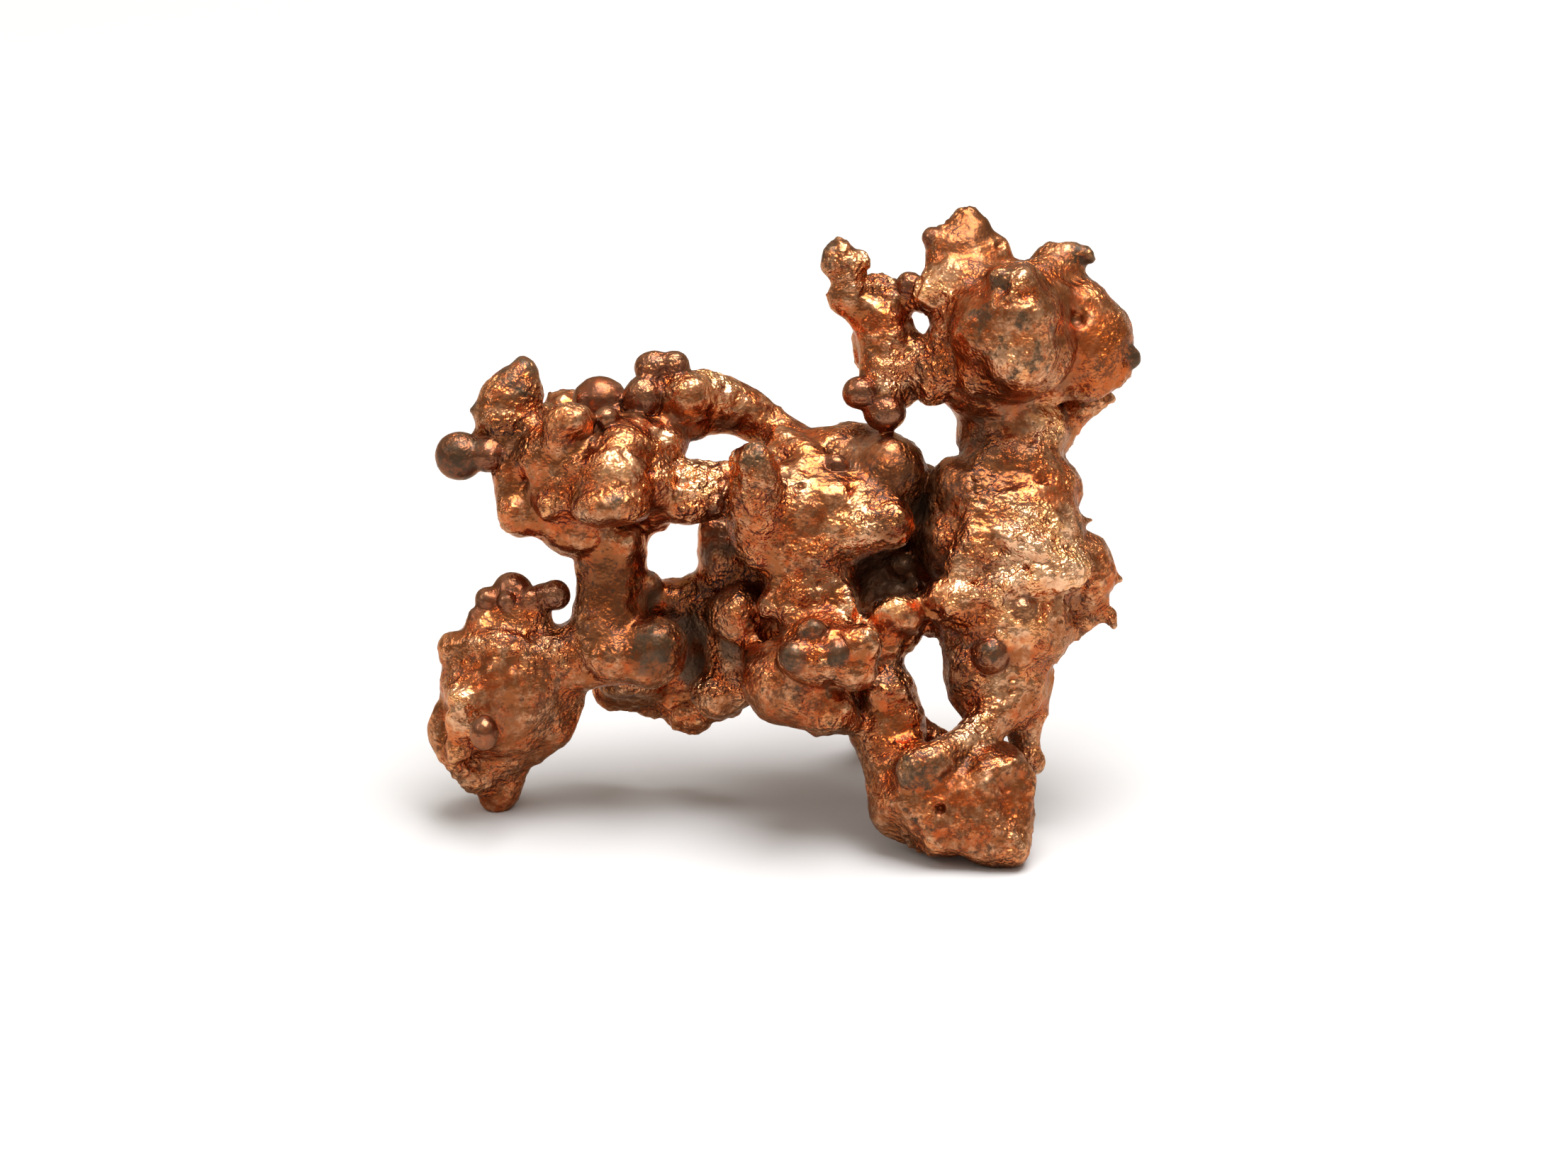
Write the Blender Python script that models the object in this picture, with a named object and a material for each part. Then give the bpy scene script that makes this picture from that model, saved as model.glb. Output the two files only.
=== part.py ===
"""Native copper nugget: one solid of lobes, beads, necks and spurs that grew together.

The forms are laid out on a board that leans back by LEAN and stands up the way the nugget does.
A place on the board is (across, up, out) in millimetres: across runs to the right, up runs up the
board, and out stands off it towards the reader. on_board() turns such a place into the nugget's
own frame: metres, +Z up, the origin under the middle of the nugget, and its feet on z = 0.
"""

import math

import bmesh
import bpy
from mathutils import Matrix, Vector

MM = 0.001
LEAN = math.radians(20)
# The board's place under the middle of the nugget, level with the ground: across, up, out.
ORIGIN = Vector((0.28, 3.29, -5.08))
GRAIN = 0.30 * MM  # the voxel that fuses the forms
RELAX = 5  # smoothing passes that round the creases
HACKLE = 0.55 * MM  # how far the growth surface wanders in and out
HACKLE_SIZE = 1.6 * MM  # and how wide one such swell is
TRIANGLES = 9600
COPPER = (0.50, 0.22, 0.11, 1)

# A lump is an ellipsoid: its centre (across, up, out), its half sizes along the same three,
# and, where it is turned, its angle on the board in degrees, anticlockwise.
LEFT_SHOULDER = [
    ((-11.4, 21.6, 0.4), (3.4, 3.2, 3.4)),
    ((-12.4, 23.0, 1.6), (2.4, 2.0, 2.2)),
    ((-9.3, 21.1, 4.4), (2.3, 1.9, 2.2)),
    ((-11.8, 24.9, 3.6), (1.45, 1.15, 1.6)),
    ((-9.7, 25.2, 2.6), (0.65, 0.6, 0.8)),
    ((-12.9, 19.9, 3.4), (1.0, 1.0, 1.0)),
    ((-12.2, 21.8, 3.6), (0.7, 0.6, 0.7)),
    ((-14.8, 19.9, 0.8), (1.2, 1.4, 1.7)),
    ((-14.0, 19.6, 0.6), (1.3, 1.2, 1.6)),
    ((-15.1, 21.6, 0.6), (1.0, 1.5, 1.5)),
    ((-14.3, 22.8, 0.6), (1.6, 1.4, 1.8)),
    ((-11.4, 18.6, 0.6), (2.0, 1.3, 2.0)),
    ((-12.6, 19.0, 0.8), (1.5, 1.1, 1.7)),
    ((-8.6, 18.5, 2.2), (1.1, 0.95, 1.2)),
    ((-8.4, 18.0, 0.2), (1.0, 1.4, 1.6)),
    ((-6.65, 23.7, 0.4), (1.45, 1.3, 1.8)),
    ((-8.6, 24.3, 1.2), (1.8, 1.2, 1.6)),
    ((-8.4, 23.0, 1.6), (2.0, 1.3, 1.8)),
    ((-7.1, 20.8, 0.8), (1.3, 1.9, 1.8)),
]
LEFT_CREST = [
    ((-12.1, 25.9, -3.2), (1.35, 1.0, 1.5)),
    ((-13.2, 25.0, -1.4), (1.2, 1.0, 1.6)),
    ((-11.6, 24.4, -2.6), (1.9, 1.5, 2.0)),
    ((-10.2, 26.1, -1.0), (1.5, 1.35, 1.0)),
    ((-9.6, 25.0, -0.8), (1.6, 1.1, 1.4)),
    ((-7.6, 26.3, 0.2), (1.05, 1.15, 1.1)),
    ((-5.2, 26.4, 0.8), (1.25, 1.3, 1.3)),
    ((-7.3, 28.1, -0.2), (0.95, 0.82, 0.95)),
    ((-5.95, 28.3, 0.0), (0.85, 0.68, 0.85)),
    ((-6.6, 27.5, -0.1), (0.75, 0.6, 0.8)),
    ((-6.8, 25.0, -0.8), (1.9, 1.0, 1.6)),
]
LEFT_CLAW = [
    ((-15.1, 26.3, 0.4), (1.8, 1.5, 1.4), 30),
    ((-14.2, 26.4, 0.3), (0.85, 1.4, 1.2)),
    ((-14.3, 27.9, 0.3), (0.65, 0.85, 0.8)),
    ((-14.75, 27.6, 1.1), (0.75, 0.55, 0.6)),
    ((-15.6, 25.2, 0.6), (1.3, 1.0, 1.3)),
    ((-15.4, 24.2, 0.2), (1.5, 1.3, 1.5)),
    ((-14.2, 24.8, 0.2), (1.2, 1.2, 1.5)),
    ((-18.0, 23.1, 0.8), (1.38, 1.38, 1.35)),
    ((-16.7, 23.1, 0.9), (1.1, 1.08, 1.1)),
]
LINK = [
    ((-4.8, 21.1, 0.8), (2.4, 1.75, 1.6)),
    ((-5.4, 20.5, 1.2), (1.4, 1.35, 1.4)),
    ((-3.5, 20.8, 1.0), (1.1, 1.6, 1.3)),
    ((-3.6, 20.3, 2.2), (0.4, 0.5, 0.5)),
]
TRUNK = [
    ((0.8, 19.6, 1.2), (2.9, 2.9, 2.6)),
    ((-0.7, 19.2, 1.0), (2.2, 2.2, 2.4)),
    ((3.6, 19.2, 1.8), (2.5, 1.9, 2.2)),
    ((6.0, 19.4, 2.8), (1.6, 1.5, 1.7)),
    ((7.0, 18.6, 3.2), (0.8, 0.9, 0.9)),
    ((4.85, 21.2, -1.8), (3.5, 3.8, 3.4)),
    ((8.4, 21.2, -1.4), (1.0, 1.5, 1.3)),
    ((8.3, 18.9, -1.8), (1.0, 1.7, 1.4)),
    ((2.6, 23.0, -1.0), (1.8, 1.3, 1.8)),
    ((3.2, 22.6, 1.7), (0.75, 0.75, 0.8)),
    ((1.6, 16.2, 0.8), (2.6, 2.6, 2.4)),
    ((-0.2, 14.8, 2.6), (0.9, 0.85, 0.9)),
    ((0.6, 14.2, 3.0), (0.7, 0.7, 0.7)),
    ((2.6, 13.4, 1.6), (2.6, 1.8, 2.4)),
    ((3.7, 14.8, 2.6), (0.8, 1.2, 1.0)),
]
MUZZLE = [
    ((2.7, 11.8, 5.6), (2.8, 1.7, 1.9)),
    ((2.4, 12.2, 3.4), (2.4, 1.9, 2.4)),
    ((1.8, 13.4, 6.7), (0.8, 0.55, 0.7)),
    ((0.7, 11.8, 7.0), (0.75, 0.8, 0.8)),
    ((3.2, 12.0, 7.2), (0.6, 0.7, 0.7)),
    ((4.6, 12.5, 6.4), (1.15, 1.2, 1.2)),
    ((4.2, 10.9, 6.0), (1.3, 1.0, 1.3)),
]
BELLY = [
    ((0.9, 10.4, 2.6), (3.0, 2.5, 2.6), -8),
    ((2.5, 8.9, 3.0), (1.6, 1.4, 1.8)),
    ((3.2, 8.8, 4.0), (1.2, 1.2, 1.1)),
    ((2.1, 7.5, 2.4), (0.45, 0.45, 0.5)),
    ((6.5, 13.6, 2.6), (1.5, 1.4, 1.5)),
    ((5.5, 12.8, 2.0), (1.6, 1.7, 1.8)),
    ((5.9, 10.0, 2.2), (1.6, 1.6, 1.7)),
    ((4.2, 9.8, 1.0), (1.2, 1.4, 1.4)),
    ((7.9, 13.9, 1.2), (1.2, 0.9, 1.2)),
    ((-1.5, 11.7, 0.8), (0.75, 1.2, 1.2)),
]
RIGHT_FOOT = [
    ((12.0, 3.6, 3.4), (2.4, 3.3, 3.0)),
    ((8.8, 2.8, 3.2), (2.9, 2.2, 2.8)),
    ((6.6, 3.4, 2.4), (1.6, 2.0, 2.2)),
    ((10.0, 4.4, 2.8), (2.4, 2.4, 2.4)),
    ((10.3, 2.7, 4.3), (2.3, 2.0, 2.0)),
    ((12.0, 0.95, 4.0), (1.9, 0.85, 1.6)),
    ((13.1, 1.2, 4.0), (0.95, 1.25, 1.6)),
    ((8.6, 1.3, 3.6), (1.4, 0.8, 1.6)),
    ((12.0, 5.9, 2.4), (1.8, 1.0, 1.6)),
    ((13.4, 3.6, 3.0), (0.95, 2.6, 2.4)),
]
RIGHT_BODY = [
    ((13.2, 17.6, 0.0), (4.1, 4.2, 4.0)),
    ((13.0, 13.6, 0.6), (3.6, 3.2, 3.4)),
    ((12.4, 10.2, 0.8), (2.7, 2.4, 2.4)),
    ((17.2, 16.2, -0.6), (1.9, 2.3, 2.2)),
    ((13.2, 21.2, -0.6), (3.9, 2.6, 3.2)),
    ((9.3, 20.7, -0.2), (1.2, 2.1, 2.0)),
    ((9.2, 18.2, 0.0), (1.2, 1.8, 2.2)),
    ((9.6, 18.0, -0.6), (1.8, 2.2, 2.4)),
    ((9.8, 14.9, 2.6), (2.0, 1.4, 1.8)),
    ((11.8, 11.8, 4.0), (1.35, 1.3, 1.5)),
    ((13.6, 14.2, 3.6), (0.95, 1.0, 0.9)),
    ((10.8, 11.2, 1.4), (1.65, 2.2, 1.8)),
    ((16.5, 21.8, -0.6), (0.5, 0.8, 0.8)),
    ((17.4, 19.3, 0.0), (0.35, 0.3, 0.35)),
    ((14.6, 12.9, -0.4), (1.9, 1.6, 2.2)),
    ((13.6, 9.4, 0.0), (1.3, 1.5, 1.4)),
    ((15.0, 10.9, 0.2), (0.5, 0.5, 0.5)),
    ((15.5, 10.4, -0.1), (0.25, 0.2, 0.25)),
]
RIGHT_LEDGES = [
    ((11.6, 19.2, 3.2), (1.8, 0.9, 1.0), -8),
    ((14.0, 18.0, 3.4), (1.9, 1.0, 1.2), 8),
    ((16.0, 16.8, 2.0), (1.5, 1.1, 1.4)),
    ((12.8, 15.6, 3.6), (1.8, 0.9, 1.1), 12),
    ((10.8, 17.2, 3.2), (1.4, 1.0, 1.1)),
]
NECK = [
    ((13.2, 24.4, -0.8), (3.2, 2.6, 2.6)),
    ((12.0, 26.4, 0.0), (2.7, 1.6, 2.4)),
    ((12.0, 28.0, 0.8), (2.6, 2.2, 2.4)),
]
HEAD = [
    ((16.0, 30.8, -0.8), (2.8, 3.5, 2.6)),
    ((18.0, 29.2, -0.6), (2.1, 2.2, 2.4)),
    ((18.4, 30.6, -0.6), (1.25, 1.2, 1.6)),
    ((17.8, 27.6, -0.4), (1.8, 1.2, 2.0)),
    ((15.6, 33.8, -0.6), (1.9, 1.5, 1.6)),
    ((16.6, 33.2, -0.6), (0.9, 1.2, 1.4)),
    ((16.0, 27.1, 0.2), (3.0, 0.9, 1.6)),
    ((16.6, 28.6, 0.4), (2.6, 2.0, 2.0)),
    ((20.0, 28.8, 0.2), (0.4, 0.6, 0.5)),
    ((13.6, 32.6, 0.2), (1.8, 1.6, 1.8)),
    ((13.2, 29.6, 4.6), (2.4, 3.0, 3.6)),
    ((13.2, 32.7, 4.2), (1.3, 1.1, 1.6)),
    ((12.3, 33.0, 5.2), (0.6, 0.6, 0.6)),
    ((14.0, 32.4, 5.2), (0.8, 0.8, 0.8)),
    ((13.6, 27.6, 4.4), (1.7, 1.3, 2.4)),
]
CREST = [
    ((10.6, 36.0, 0.2), (0.95, 1.05, 1.1)),
    ((10.7, 34.9, 0.3), (1.5, 1.5, 1.4)),
    ((12.1, 34.6, 0.2), (1.0, 1.0, 1.2)),
    ((9.4, 34.4, 0.6), (1.2, 1.6, 1.2)),
    ((8.7, 35.5, 0.8), (0.56, 0.56, 0.56)),
    ((10.0, 32.9, 0.8), (1.8, 1.5, 1.8)),
    ((8.5, 32.2, 1.4), (0.95, 1.0, 1.0)),
    ((10.2, 32.3, 2.0), (1.0, 0.9, 1.0)),
    ((10.2, 30.0, 0.8), (1.8, 2.6, 2.2)),
    ((9.0, 27.9, 0.8), (1.5, 1.6, 1.6)),
    ((8.6, 26.9, 1.0), (1.05, 0.95, 1.1)),
]
BRANCH = [
    ((3.4, 34.4, 0.8), (0.95, 0.95, 0.9)),
    ((2.9, 33.8, 0.7), (0.65, 0.75, 0.7)),
    ((4.3, 33.8, 0.9), (0.75, 0.75, 0.75)),
    ((3.6, 31.9, 0.6), (1.0, 0.95, 0.9)),
    ((5.6, 32.2, 0.0), (1.2, 1.1, 1.1)),
    ((7.3, 32.7, 0.8), (0.72, 0.75, 0.7)),
    ((6.7, 31.6, 0.2), (0.8, 0.9, 0.9)),
    ((6.4, 30.2, 0.3), (1.15, 0.9, 1.1)),
    ((7.1, 29.2, 0.4), (1.3, 0.9, 1.2)),
    ((7.5, 28.0, 0.4), (1.4, 1.1, 1.2)),
    ((4.7, 29.4, -1.4), (0.65, 1.6, 0.9)),
    ((4.5, 26.6, 1.4), (0.98, 0.9, 0.95)),
    ((5.8, 25.5, 1.0), (1.15, 1.0, 1.1)),
    ((7.1, 26.5, 0.2), (0.6, 0.8, 0.5)),
]
LEFT_COLUMN = [
    ((-7.4, 12.0, 0.8), (2.15, 1.75, 2.0)),
    ((-9.6, 11.8, 0.2), (2.0, 1.6, 1.8)),
    ((-6.4, 14.9, -2.6), (2.6, 1.25, 1.8)),
    ((-7.8, 15.4, -1.6), (0.9, 1.1, 1.2)),
    ((-4.0, 16.0, -2.6), (1.0, 1.2, 1.4)),
    ((-3.1, 17.4, -2.2), (1.55, 2.6, 1.9)),
    ((-1.2, 16.0, -1.8), (1.8, 2.4, 1.6)),
    ((-0.6, 13.2, -0.6), (1.7, 1.8, 1.6)),
    ((-4.0, 14.0, -2.0), (1.2, 1.4, 1.4)),
    ((-2.4, 14.2, 0.2), (1.7, 1.8, 1.8)),
    ((-2.8, 12.0, -1.8), (2.2, 2.4, 1.6)),
    ((-5.0, 12.8, -3.4), (1.6, 1.8, 1.4)),
    ((-3.6, 9.6, -1.6), (1.5, 1.5, 1.4)),
    ((-2.4, 9.9, -1.2), (1.2, 1.2, 1.3)),
    ((-8.8, 9.7, -6.0), (1.8, 1.0, 1.6)),
    ((-7.2, 8.7, -6.2), (0.8, 0.55, 0.7)),
    ((-5.2, 8.7, -5.6), (1.5, 1.2, 1.6)),
    ((-3.4, 9.2, -4.8), (1.5, 1.2, 1.5)),
]
LEFT_FOOT = [
    ((-15.6, 11.8, -1.0), (3.2, 2.0, 2.2)),
    ((-18.3, 12.1, -1.0), (1.0, 0.9, 1.2)),
    ((-18.0, 10.4, -1.4), (1.15, 2.6, 1.8)),
    ((-15.8, 8.8, -1.8), (3.2, 2.9, 2.2)),
    ((-15.9, 5.2, -4.6), (1.8, 2.5, 1.8)),
    ((-15.9, 6.8, -3.2), (2.2, 2.0, 1.9)),
    ((-12.8, 8.6, -2.0), (1.7, 1.9, 1.2)),
    ((-19.1, 7.7, -2.2), (0.8, 1.6, 1.3)),
    ((-17.8, 9.4, 0.4), (0.95, 0.95, 0.9)),
    ((-18.0, 8.0, 0.2), (0.9, 0.9, 0.9)),
    ((-18.1, 6.6, -0.6), (0.85, 0.85, 0.85)),
    ((-18.3, 5.4, -1.8), (0.8, 0.8, 0.8)),
    ((-17.4, 5.0, -2.2), (0.65, 0.65, 0.7)),
    ((-17.5, 4.3, -3.2), (0.5, 0.5, 0.6)),
    ((-16.6, 7.5, 2.6), (0.8, 1.0, 0.95)),
    ((-15.2, 14.2, -1.2), (2.0, 1.5, 1.5)),
    ((-15.0, 15.7, -1.0), (1.0, 0.75, 0.95)),
    ((-16.5, 15.0, -1.0), (0.75, 0.75, 0.8)),
    ((-17.1, 14.1, -0.8), (0.4, 0.4, 0.5)),
    ((-15.4, 14.9, 0.2), (0.45, 0.45, 0.5)),
    ((-14.3, 14.9, -0.2), (0.6, 0.6, 0.6)),
    ((-13.9, 14.0, -1.0), (0.95, 1.3, 1.3)),
    ((-13.4, 15.2, -0.6), (0.6, 0.5, 0.6)),
    ((-12.65, 15.3, -0.4), (0.8, 0.84, 0.82)),
]
SHOULDER_BACK = [
    ((-10.6, 22.2, -2.8), (3.2, 2.9, 2.6)),
    ((-12.8, 21.0, -4.2), (1.7, 1.5, 1.5)),
    ((-9.0, 23.2, -4.6), (1.6, 1.4, 1.5)),
    ((-10.8, 20.0, -3.6), (1.5, 1.3, 1.4)),
    ((-11.2, 22.8, -5.4), (1.2, 1.0, 1.0)),
    ((-13.6, 22.6, -3.0), (1.2, 1.4, 1.3)),
    ((-8.2, 21.2, -3.2), (1.3, 1.5, 1.3)),
    ((-12.4, 19.8, -5.2), (0.75, 0.75, 0.75)),
    ((-3.2, 25.2, -3.9), (0.9, 0.8, 0.9)),
    ((-0.8, 24.4, -4.0), (0.8, 0.8, 0.8)),
]
TRUNK_BACK = [
    ((6.6, 16.8, -4.0), (2.6, 2.2, 2.2)),
    ((3.2, 16.8, -4.5), (3.6, 3.4, 2.8)),
    ((0.6, 18.6, -4.6), (2.0, 1.8, 1.8)),
    ((1.6, 20.2, -6.4), (1.9, 1.5, 1.7)),
    ((0.8, 21.4, -8.2), (1.5, 1.3, 1.4)),
    ((-0.5, 22.0, -9.2), (0.9, 0.85, 0.9)),
    ((1.9, 22.1, -8.9), (0.8, 0.8, 0.8)),
    ((5.2, 14.6, -6.0), (1.8, 1.6, 1.7)),
    ((5.4, 21.8, -5.0), (2.2, 2.2, 1.8)),
    ((3.4, 23.0, -5.0), (1.2, 1.2, 1.2)),
    ((6.6, 20.4, -5.6), (1.3, 1.3, 1.3)),
    ((4.2, 19.4, -6.4), (1.4, 1.2, 1.3)),
]
BACK_LEG = [
    ((4.8, 12.6, -7.2), (1.7, 1.5, 1.6)),
    ((5.3, 10.9, -9.2), (1.35, 1.4, 1.5)),
    ((4.6, 10.6, -10.4), (0.7, 0.7, 0.7)),
    ((5.2, 9.3, -11.0), (1.25, 1.2, 1.3)),
    ((6.0, 7.15, -12.8), (1.5, 1.35, 1.5)),
    ((5.2, 7.7, -14.0), (0.7, 0.7, 0.7)),
]
RIGHT_BACK = [
    ((13.6, 16.6, -4.0), (3.2, 3.4, 2.6)),
    ((15.6, 18.0, -3.6), (1.6, 1.8, 1.6)),
    ((11.6, 18.6, -4.4), (1.7, 1.6, 1.6)),
    ((12.2, 15.0, -5.6), (1.8, 1.6, 1.7)),
    ((14.6, 14.4, -5.2), (1.5, 1.4, 1.5)),
    ((13.2, 13.6, -7.0), (1.5, 1.3, 1.5)),
    ((12.8, 13.0, -8.6), (0.95, 0.9, 0.95)),
    ((15.9, 16.2, -4.8), (1.0, 1.0, 1.0)),
    ((14.4, 19.8, -3.6), (1.2, 1.1, 1.2)),
    ((11.4, 12.4, -3.2), (1.4, 1.5, 1.5)),
    ((12.8, 10.4, -2.2), (1.5, 1.4, 1.3)),
    ((13.4, 24.6, -3.2), (1.8, 1.6, 1.4)),
    ((12.0, 22.8, -3.6), (1.4, 1.4, 1.3)),
]
HEAD_BACK = [
    ((13.0, 30.0, -2.4), (2.8, 2.8, 2.0)),
    ((11.4, 31.4, -3.6), (1.3, 1.2, 1.3)),
    ((14.6, 28.6, -3.8), (1.4, 1.3, 1.3)),
    ((16.2, 31.2, -3.2), (1.4, 1.5, 1.2)),
    ((12.6, 28.0, -3.2), (1.2, 1.1, 1.1)),
    ((15.0, 33.2, -2.2), (1.0, 0.9, 0.9)),
    ((17.4, 29.4, -3.2), (0.7, 0.7, 0.7)),
    ((5.4, 28.6, -1.2), (1.0, 1.2, 1.0)),
    ((5.8, 31.0, -1.0), (0.9, 0.8, 0.8)),
]
LEFT_FOOT_BACK = [
    ((-16.0, 9.6, -3.8), (2.4, 2.6, 1.6)),
    ((-14.4, 11.0, -3.8), (1.3, 1.3, 1.2)),
    ((-17.2, 8.0, -4.6), (1.2, 1.3, 1.2)),
    ((-17.6, 11.2, -3.4), (1.0, 1.0, 1.0)),
    ((-15.4, 8.8, -5.6), (0.8, 0.8, 0.8)),
    ((-9.4, 14.6, -2.6), (1.5, 1.7, 1.4)),
    ((-8.6, 12.0, -3.2), (1.7, 1.4, 1.5)),
]
LUMPS = (
    LEFT_SHOULDER
    + LEFT_CREST
    + LEFT_CLAW
    + LINK
    + TRUNK
    + MUZZLE
    + BELLY
    + RIGHT_FOOT
    + RIGHT_BODY
    + RIGHT_LEDGES
    + NECK
    + HEAD
    + CREST
    + BRANCH
    + LEFT_COLUMN
    + LEFT_FOOT
    + SHOULDER_BACK
    + TRUNK_BACK
    + BACK_LEG
    + RIGHT_BACK
    + HEAD_BACK
    + LEFT_FOOT_BACK
)

# A limb is a round bar along a smooth line: at each point (across, up, out) and its radius there.
LIMBS = {
    "crest_stem": [(-6.8, 26.6, -0.2, 0.7), (-6.7, 28.0, -0.2, 0.7)],
    "claw_tip": [(-15.9, 26.4, 0.4, 0.6), (-16.8, 26.1, 0.4, 0.35), (-17.3, 25.7, 0.3, 0.12)],
    "crest_nub": [(-12.6, 26.0, -3.0, 0.5), (-13.1, 26.7, -3.2, 0.25)],
    "finger": [
        (-1.0, 18.4, 2.4, 1.4),
        (-1.2, 20.4, 3.4, 1.4),
        (-1.35, 22.0, 4.2, 1.3),
        (-1.4, 22.8, 4.6, 1.1),
    ],
    "strand": [(0.2, 24.2, -0.2, 0.7), (1.6, 23.2, 1.0, 0.75), (2.3, 22.6, 1.6, 0.65)],
    "arch": [
        (-5.6, 26.3, -0.4, 1.65),
        (-4.0, 26.1, -1.6, 1.75),
        (-2.6, 25.75, -2.2, 1.65),
        (-1.4, 25.1, -2.4, 1.5),
        (0.0, 24.2, -2.2, 1.35),
        (1.4, 23.3, -1.4, 1.35),
        (2.6, 22.4, -1.0, 1.4),
    ],
    "leg": [
        (5.4, 12.4, 1.4, 1.75),
        (5.7, 10.4, 1.2, 1.7),
        (6.0, 8.4, 1.4, 1.85),
        (6.2, 6.4, 1.8, 1.85),
        (6.6, 4.4, 2.4, 1.8),
    ],
    "leg_web": [(7.2, 8.0, -0.4, 0.9), (9.0, 7.0, -0.6, 0.9), (10.6, 6.2, 0.4, 0.9)],
    "spur": [
        (12.6, 9.8, 1.4, 1.8),
        (11.4, 7.8, 2.6, 1.15),
        (10.0, 6.8, 3.6, 0.95),
        (8.6, 5.9, 4.6, 1.15),
        (7.7, 5.4, 4.8, 1.4),
    ],
    "strut": [
        (14.7, 10.8, -0.2, 0.75),
        (14.3, 9.2, -0.4, 0.75),
        (13.9, 7.6, -0.4, 1.0),
        (14.1, 6.4, -0.4, 0.95),
        (14.2, 5.9, -0.4, 0.85),
    ],
    "ledge": [
        (12.0, 20.3, 2.2, 0.5),
        (13.8, 19.5, 2.8, 0.5),
        (15.6, 19.4, 1.8, 0.45),
        (17.3, 19.3, 0.0, 0.3),
    ],
    "fin": [(18.2, 17.4, -0.8, 0.6), (18.3, 18.2, -0.8, 0.25), (17.9, 18.6, -0.8, 0.1)],
    "fin_tip": [(18.6, 16.2, -0.8, 0.6), (19.2, 16.1, -0.8, 0.25)],
    "hook": [
        (16.8, 13.6, -0.8, 0.9),
        (18.2, 14.1, -1.0, 0.5),
        (18.6, 14.2, -1.0, 0.4),
        (18.8, 13.5, -1.0, 0.25),
    ],
    "flank_tip": [(16.0, 13.0, -0.6, 0.7), (17.0, 12.9, -0.6, 0.25)],
    "neck_flare": [
        (14.0, 24.0, -1.5, 1.8),
        (16.0, 25.4, -2.0, 1.3),
        (17.6, 26.2, -2.2, 0.85),
        (18.5, 26.5, -2.2, 0.4),
    ],
    "head_hook": [(15.8, 34.7, -0.4, 0.7), (17.0, 34.5, -0.2, 0.5), (17.4, 34.3, 0.0, 0.35)],
    "crest_ridge": [(10.0, 33.2, 1.8, 0.5), (11.6, 34.0, 1.4, 0.5), (12.8, 34.7, 0.6, 0.35)],
    "branch": [
        (3.5, 33.8, 0.7, 0.8),
        (3.8, 32.8, 0.6, 0.85),
        (4.2, 31.6, 0.4, 1.0),
        (5.4, 30.8, 0.2, 1.45),
        (5.9, 29.4, 0.2, 1.5),
        (5.9, 27.8, 0.4, 1.35),
        (5.8, 26.2, 0.7, 1.1),
    ],
    "branch_nib": [(3.2, 31.9, 0.6, 0.4), (2.5, 32.1, 0.6, 0.15)],
    "column": [
        (-9.5, 18.0, 0.0, 1.9),
        (-9.5, 16.8, -0.4, 2.0),
        (-9.6, 15.0, -0.6, 2.05),
        (-9.6, 13.2, -0.6, 2.05),
        (-9.6, 12.2, -0.6, 2.0),
    ],
    "lobe_root": [(-6.4, 13.6, -3.4, 1.6), (-6.4, 11.2, -4.8, 1.6), (-6.2, 9.8, -5.4, 1.4)],
    "foot_neck": [(-13.0, 11.6, -1.0, 1.8), (-11.2, 11.6, -0.8, 1.8), (-9.6, 12.0, -0.4, 1.8)],
    "foot_corner": [(-17.8, 12.2, -1.0, 1.0), (-19.0, 12.6, -1.0, 0.3)],
    "foot_blade": [
        (-12.2, 10.2, -1.6, 1.3),
        (-12.0, 8.6, -2.0, 0.9),
        (-12.9, 7.1, -2.6, 0.8),
        (-14.2, 5.7, -3.4, 0.75),
        (-15.0, 4.8, -4.2, 0.9),
    ],
    "foot_bead_stem": [(-16.6, 7.4, -0.2, 0.7), (-16.6, 7.4, 2.4, 0.6)],
    "back_leg": [
        (4.4, 14.0, -4.4, 2.0),
        (4.8, 12.0, -7.4, 1.3),
        (5.2, 9.6, -10.4, 1.1),
        (5.8, 7.6, -12.6, 1.1),
    ],
    "back_branch": [(2.0, 18.0, -5.6, 1.7), (1.4, 20.2, -7.2, 1.3), (0.6, 21.4, -8.4, 1.1)],
}

# A pit is an ellipsoid of air, written like a lump.
PITS = [
    ((16.6, 30.7, 2.2), (0.5, 0.5, 1.2)),
    ((8.8, 3.4, 6.2), (0.3, 0.45, 1.0)),
    ((-14.5, 21.6, 2.6), (0.25, 0.25, 1.2)),
    ((-7.3, 22.2, 2.6), (0.25, 0.3, 1.2)),
]


def on_board(across, up, out):
    """A place on the leaning board, in millimetres, as a point of the nugget's frame, in metres."""
    across, up, out = (Vector((across, up, out)) - ORIGIN) * MM
    cos, sin = math.cos(LEAN), math.sin(LEAN)
    return Vector((across, up * sin - out * cos, up * cos + out * sin))


def board_turn(degrees):
    """The rotation from a form's own x, y, z to the board's across, up and out, after a turn on the board."""
    return Matrix.Rotation(math.pi / 2 - LEAN, 4, "X") @ Matrix.Rotation(math.radians(degrees), 4, "Z")


def add_lump(mesh, centre, half_sizes, turn=0):
    """An icosphere stretched to the lump's half sizes."""
    stretch = Matrix.Diagonal((*(size * MM for size in half_sizes), 1))
    place = Matrix.Translation(on_board(*centre)) @ board_turn(turn) @ stretch
    bmesh.ops.create_icosphere(mesh, subdivisions=3, radius=1, matrix=place)


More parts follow.
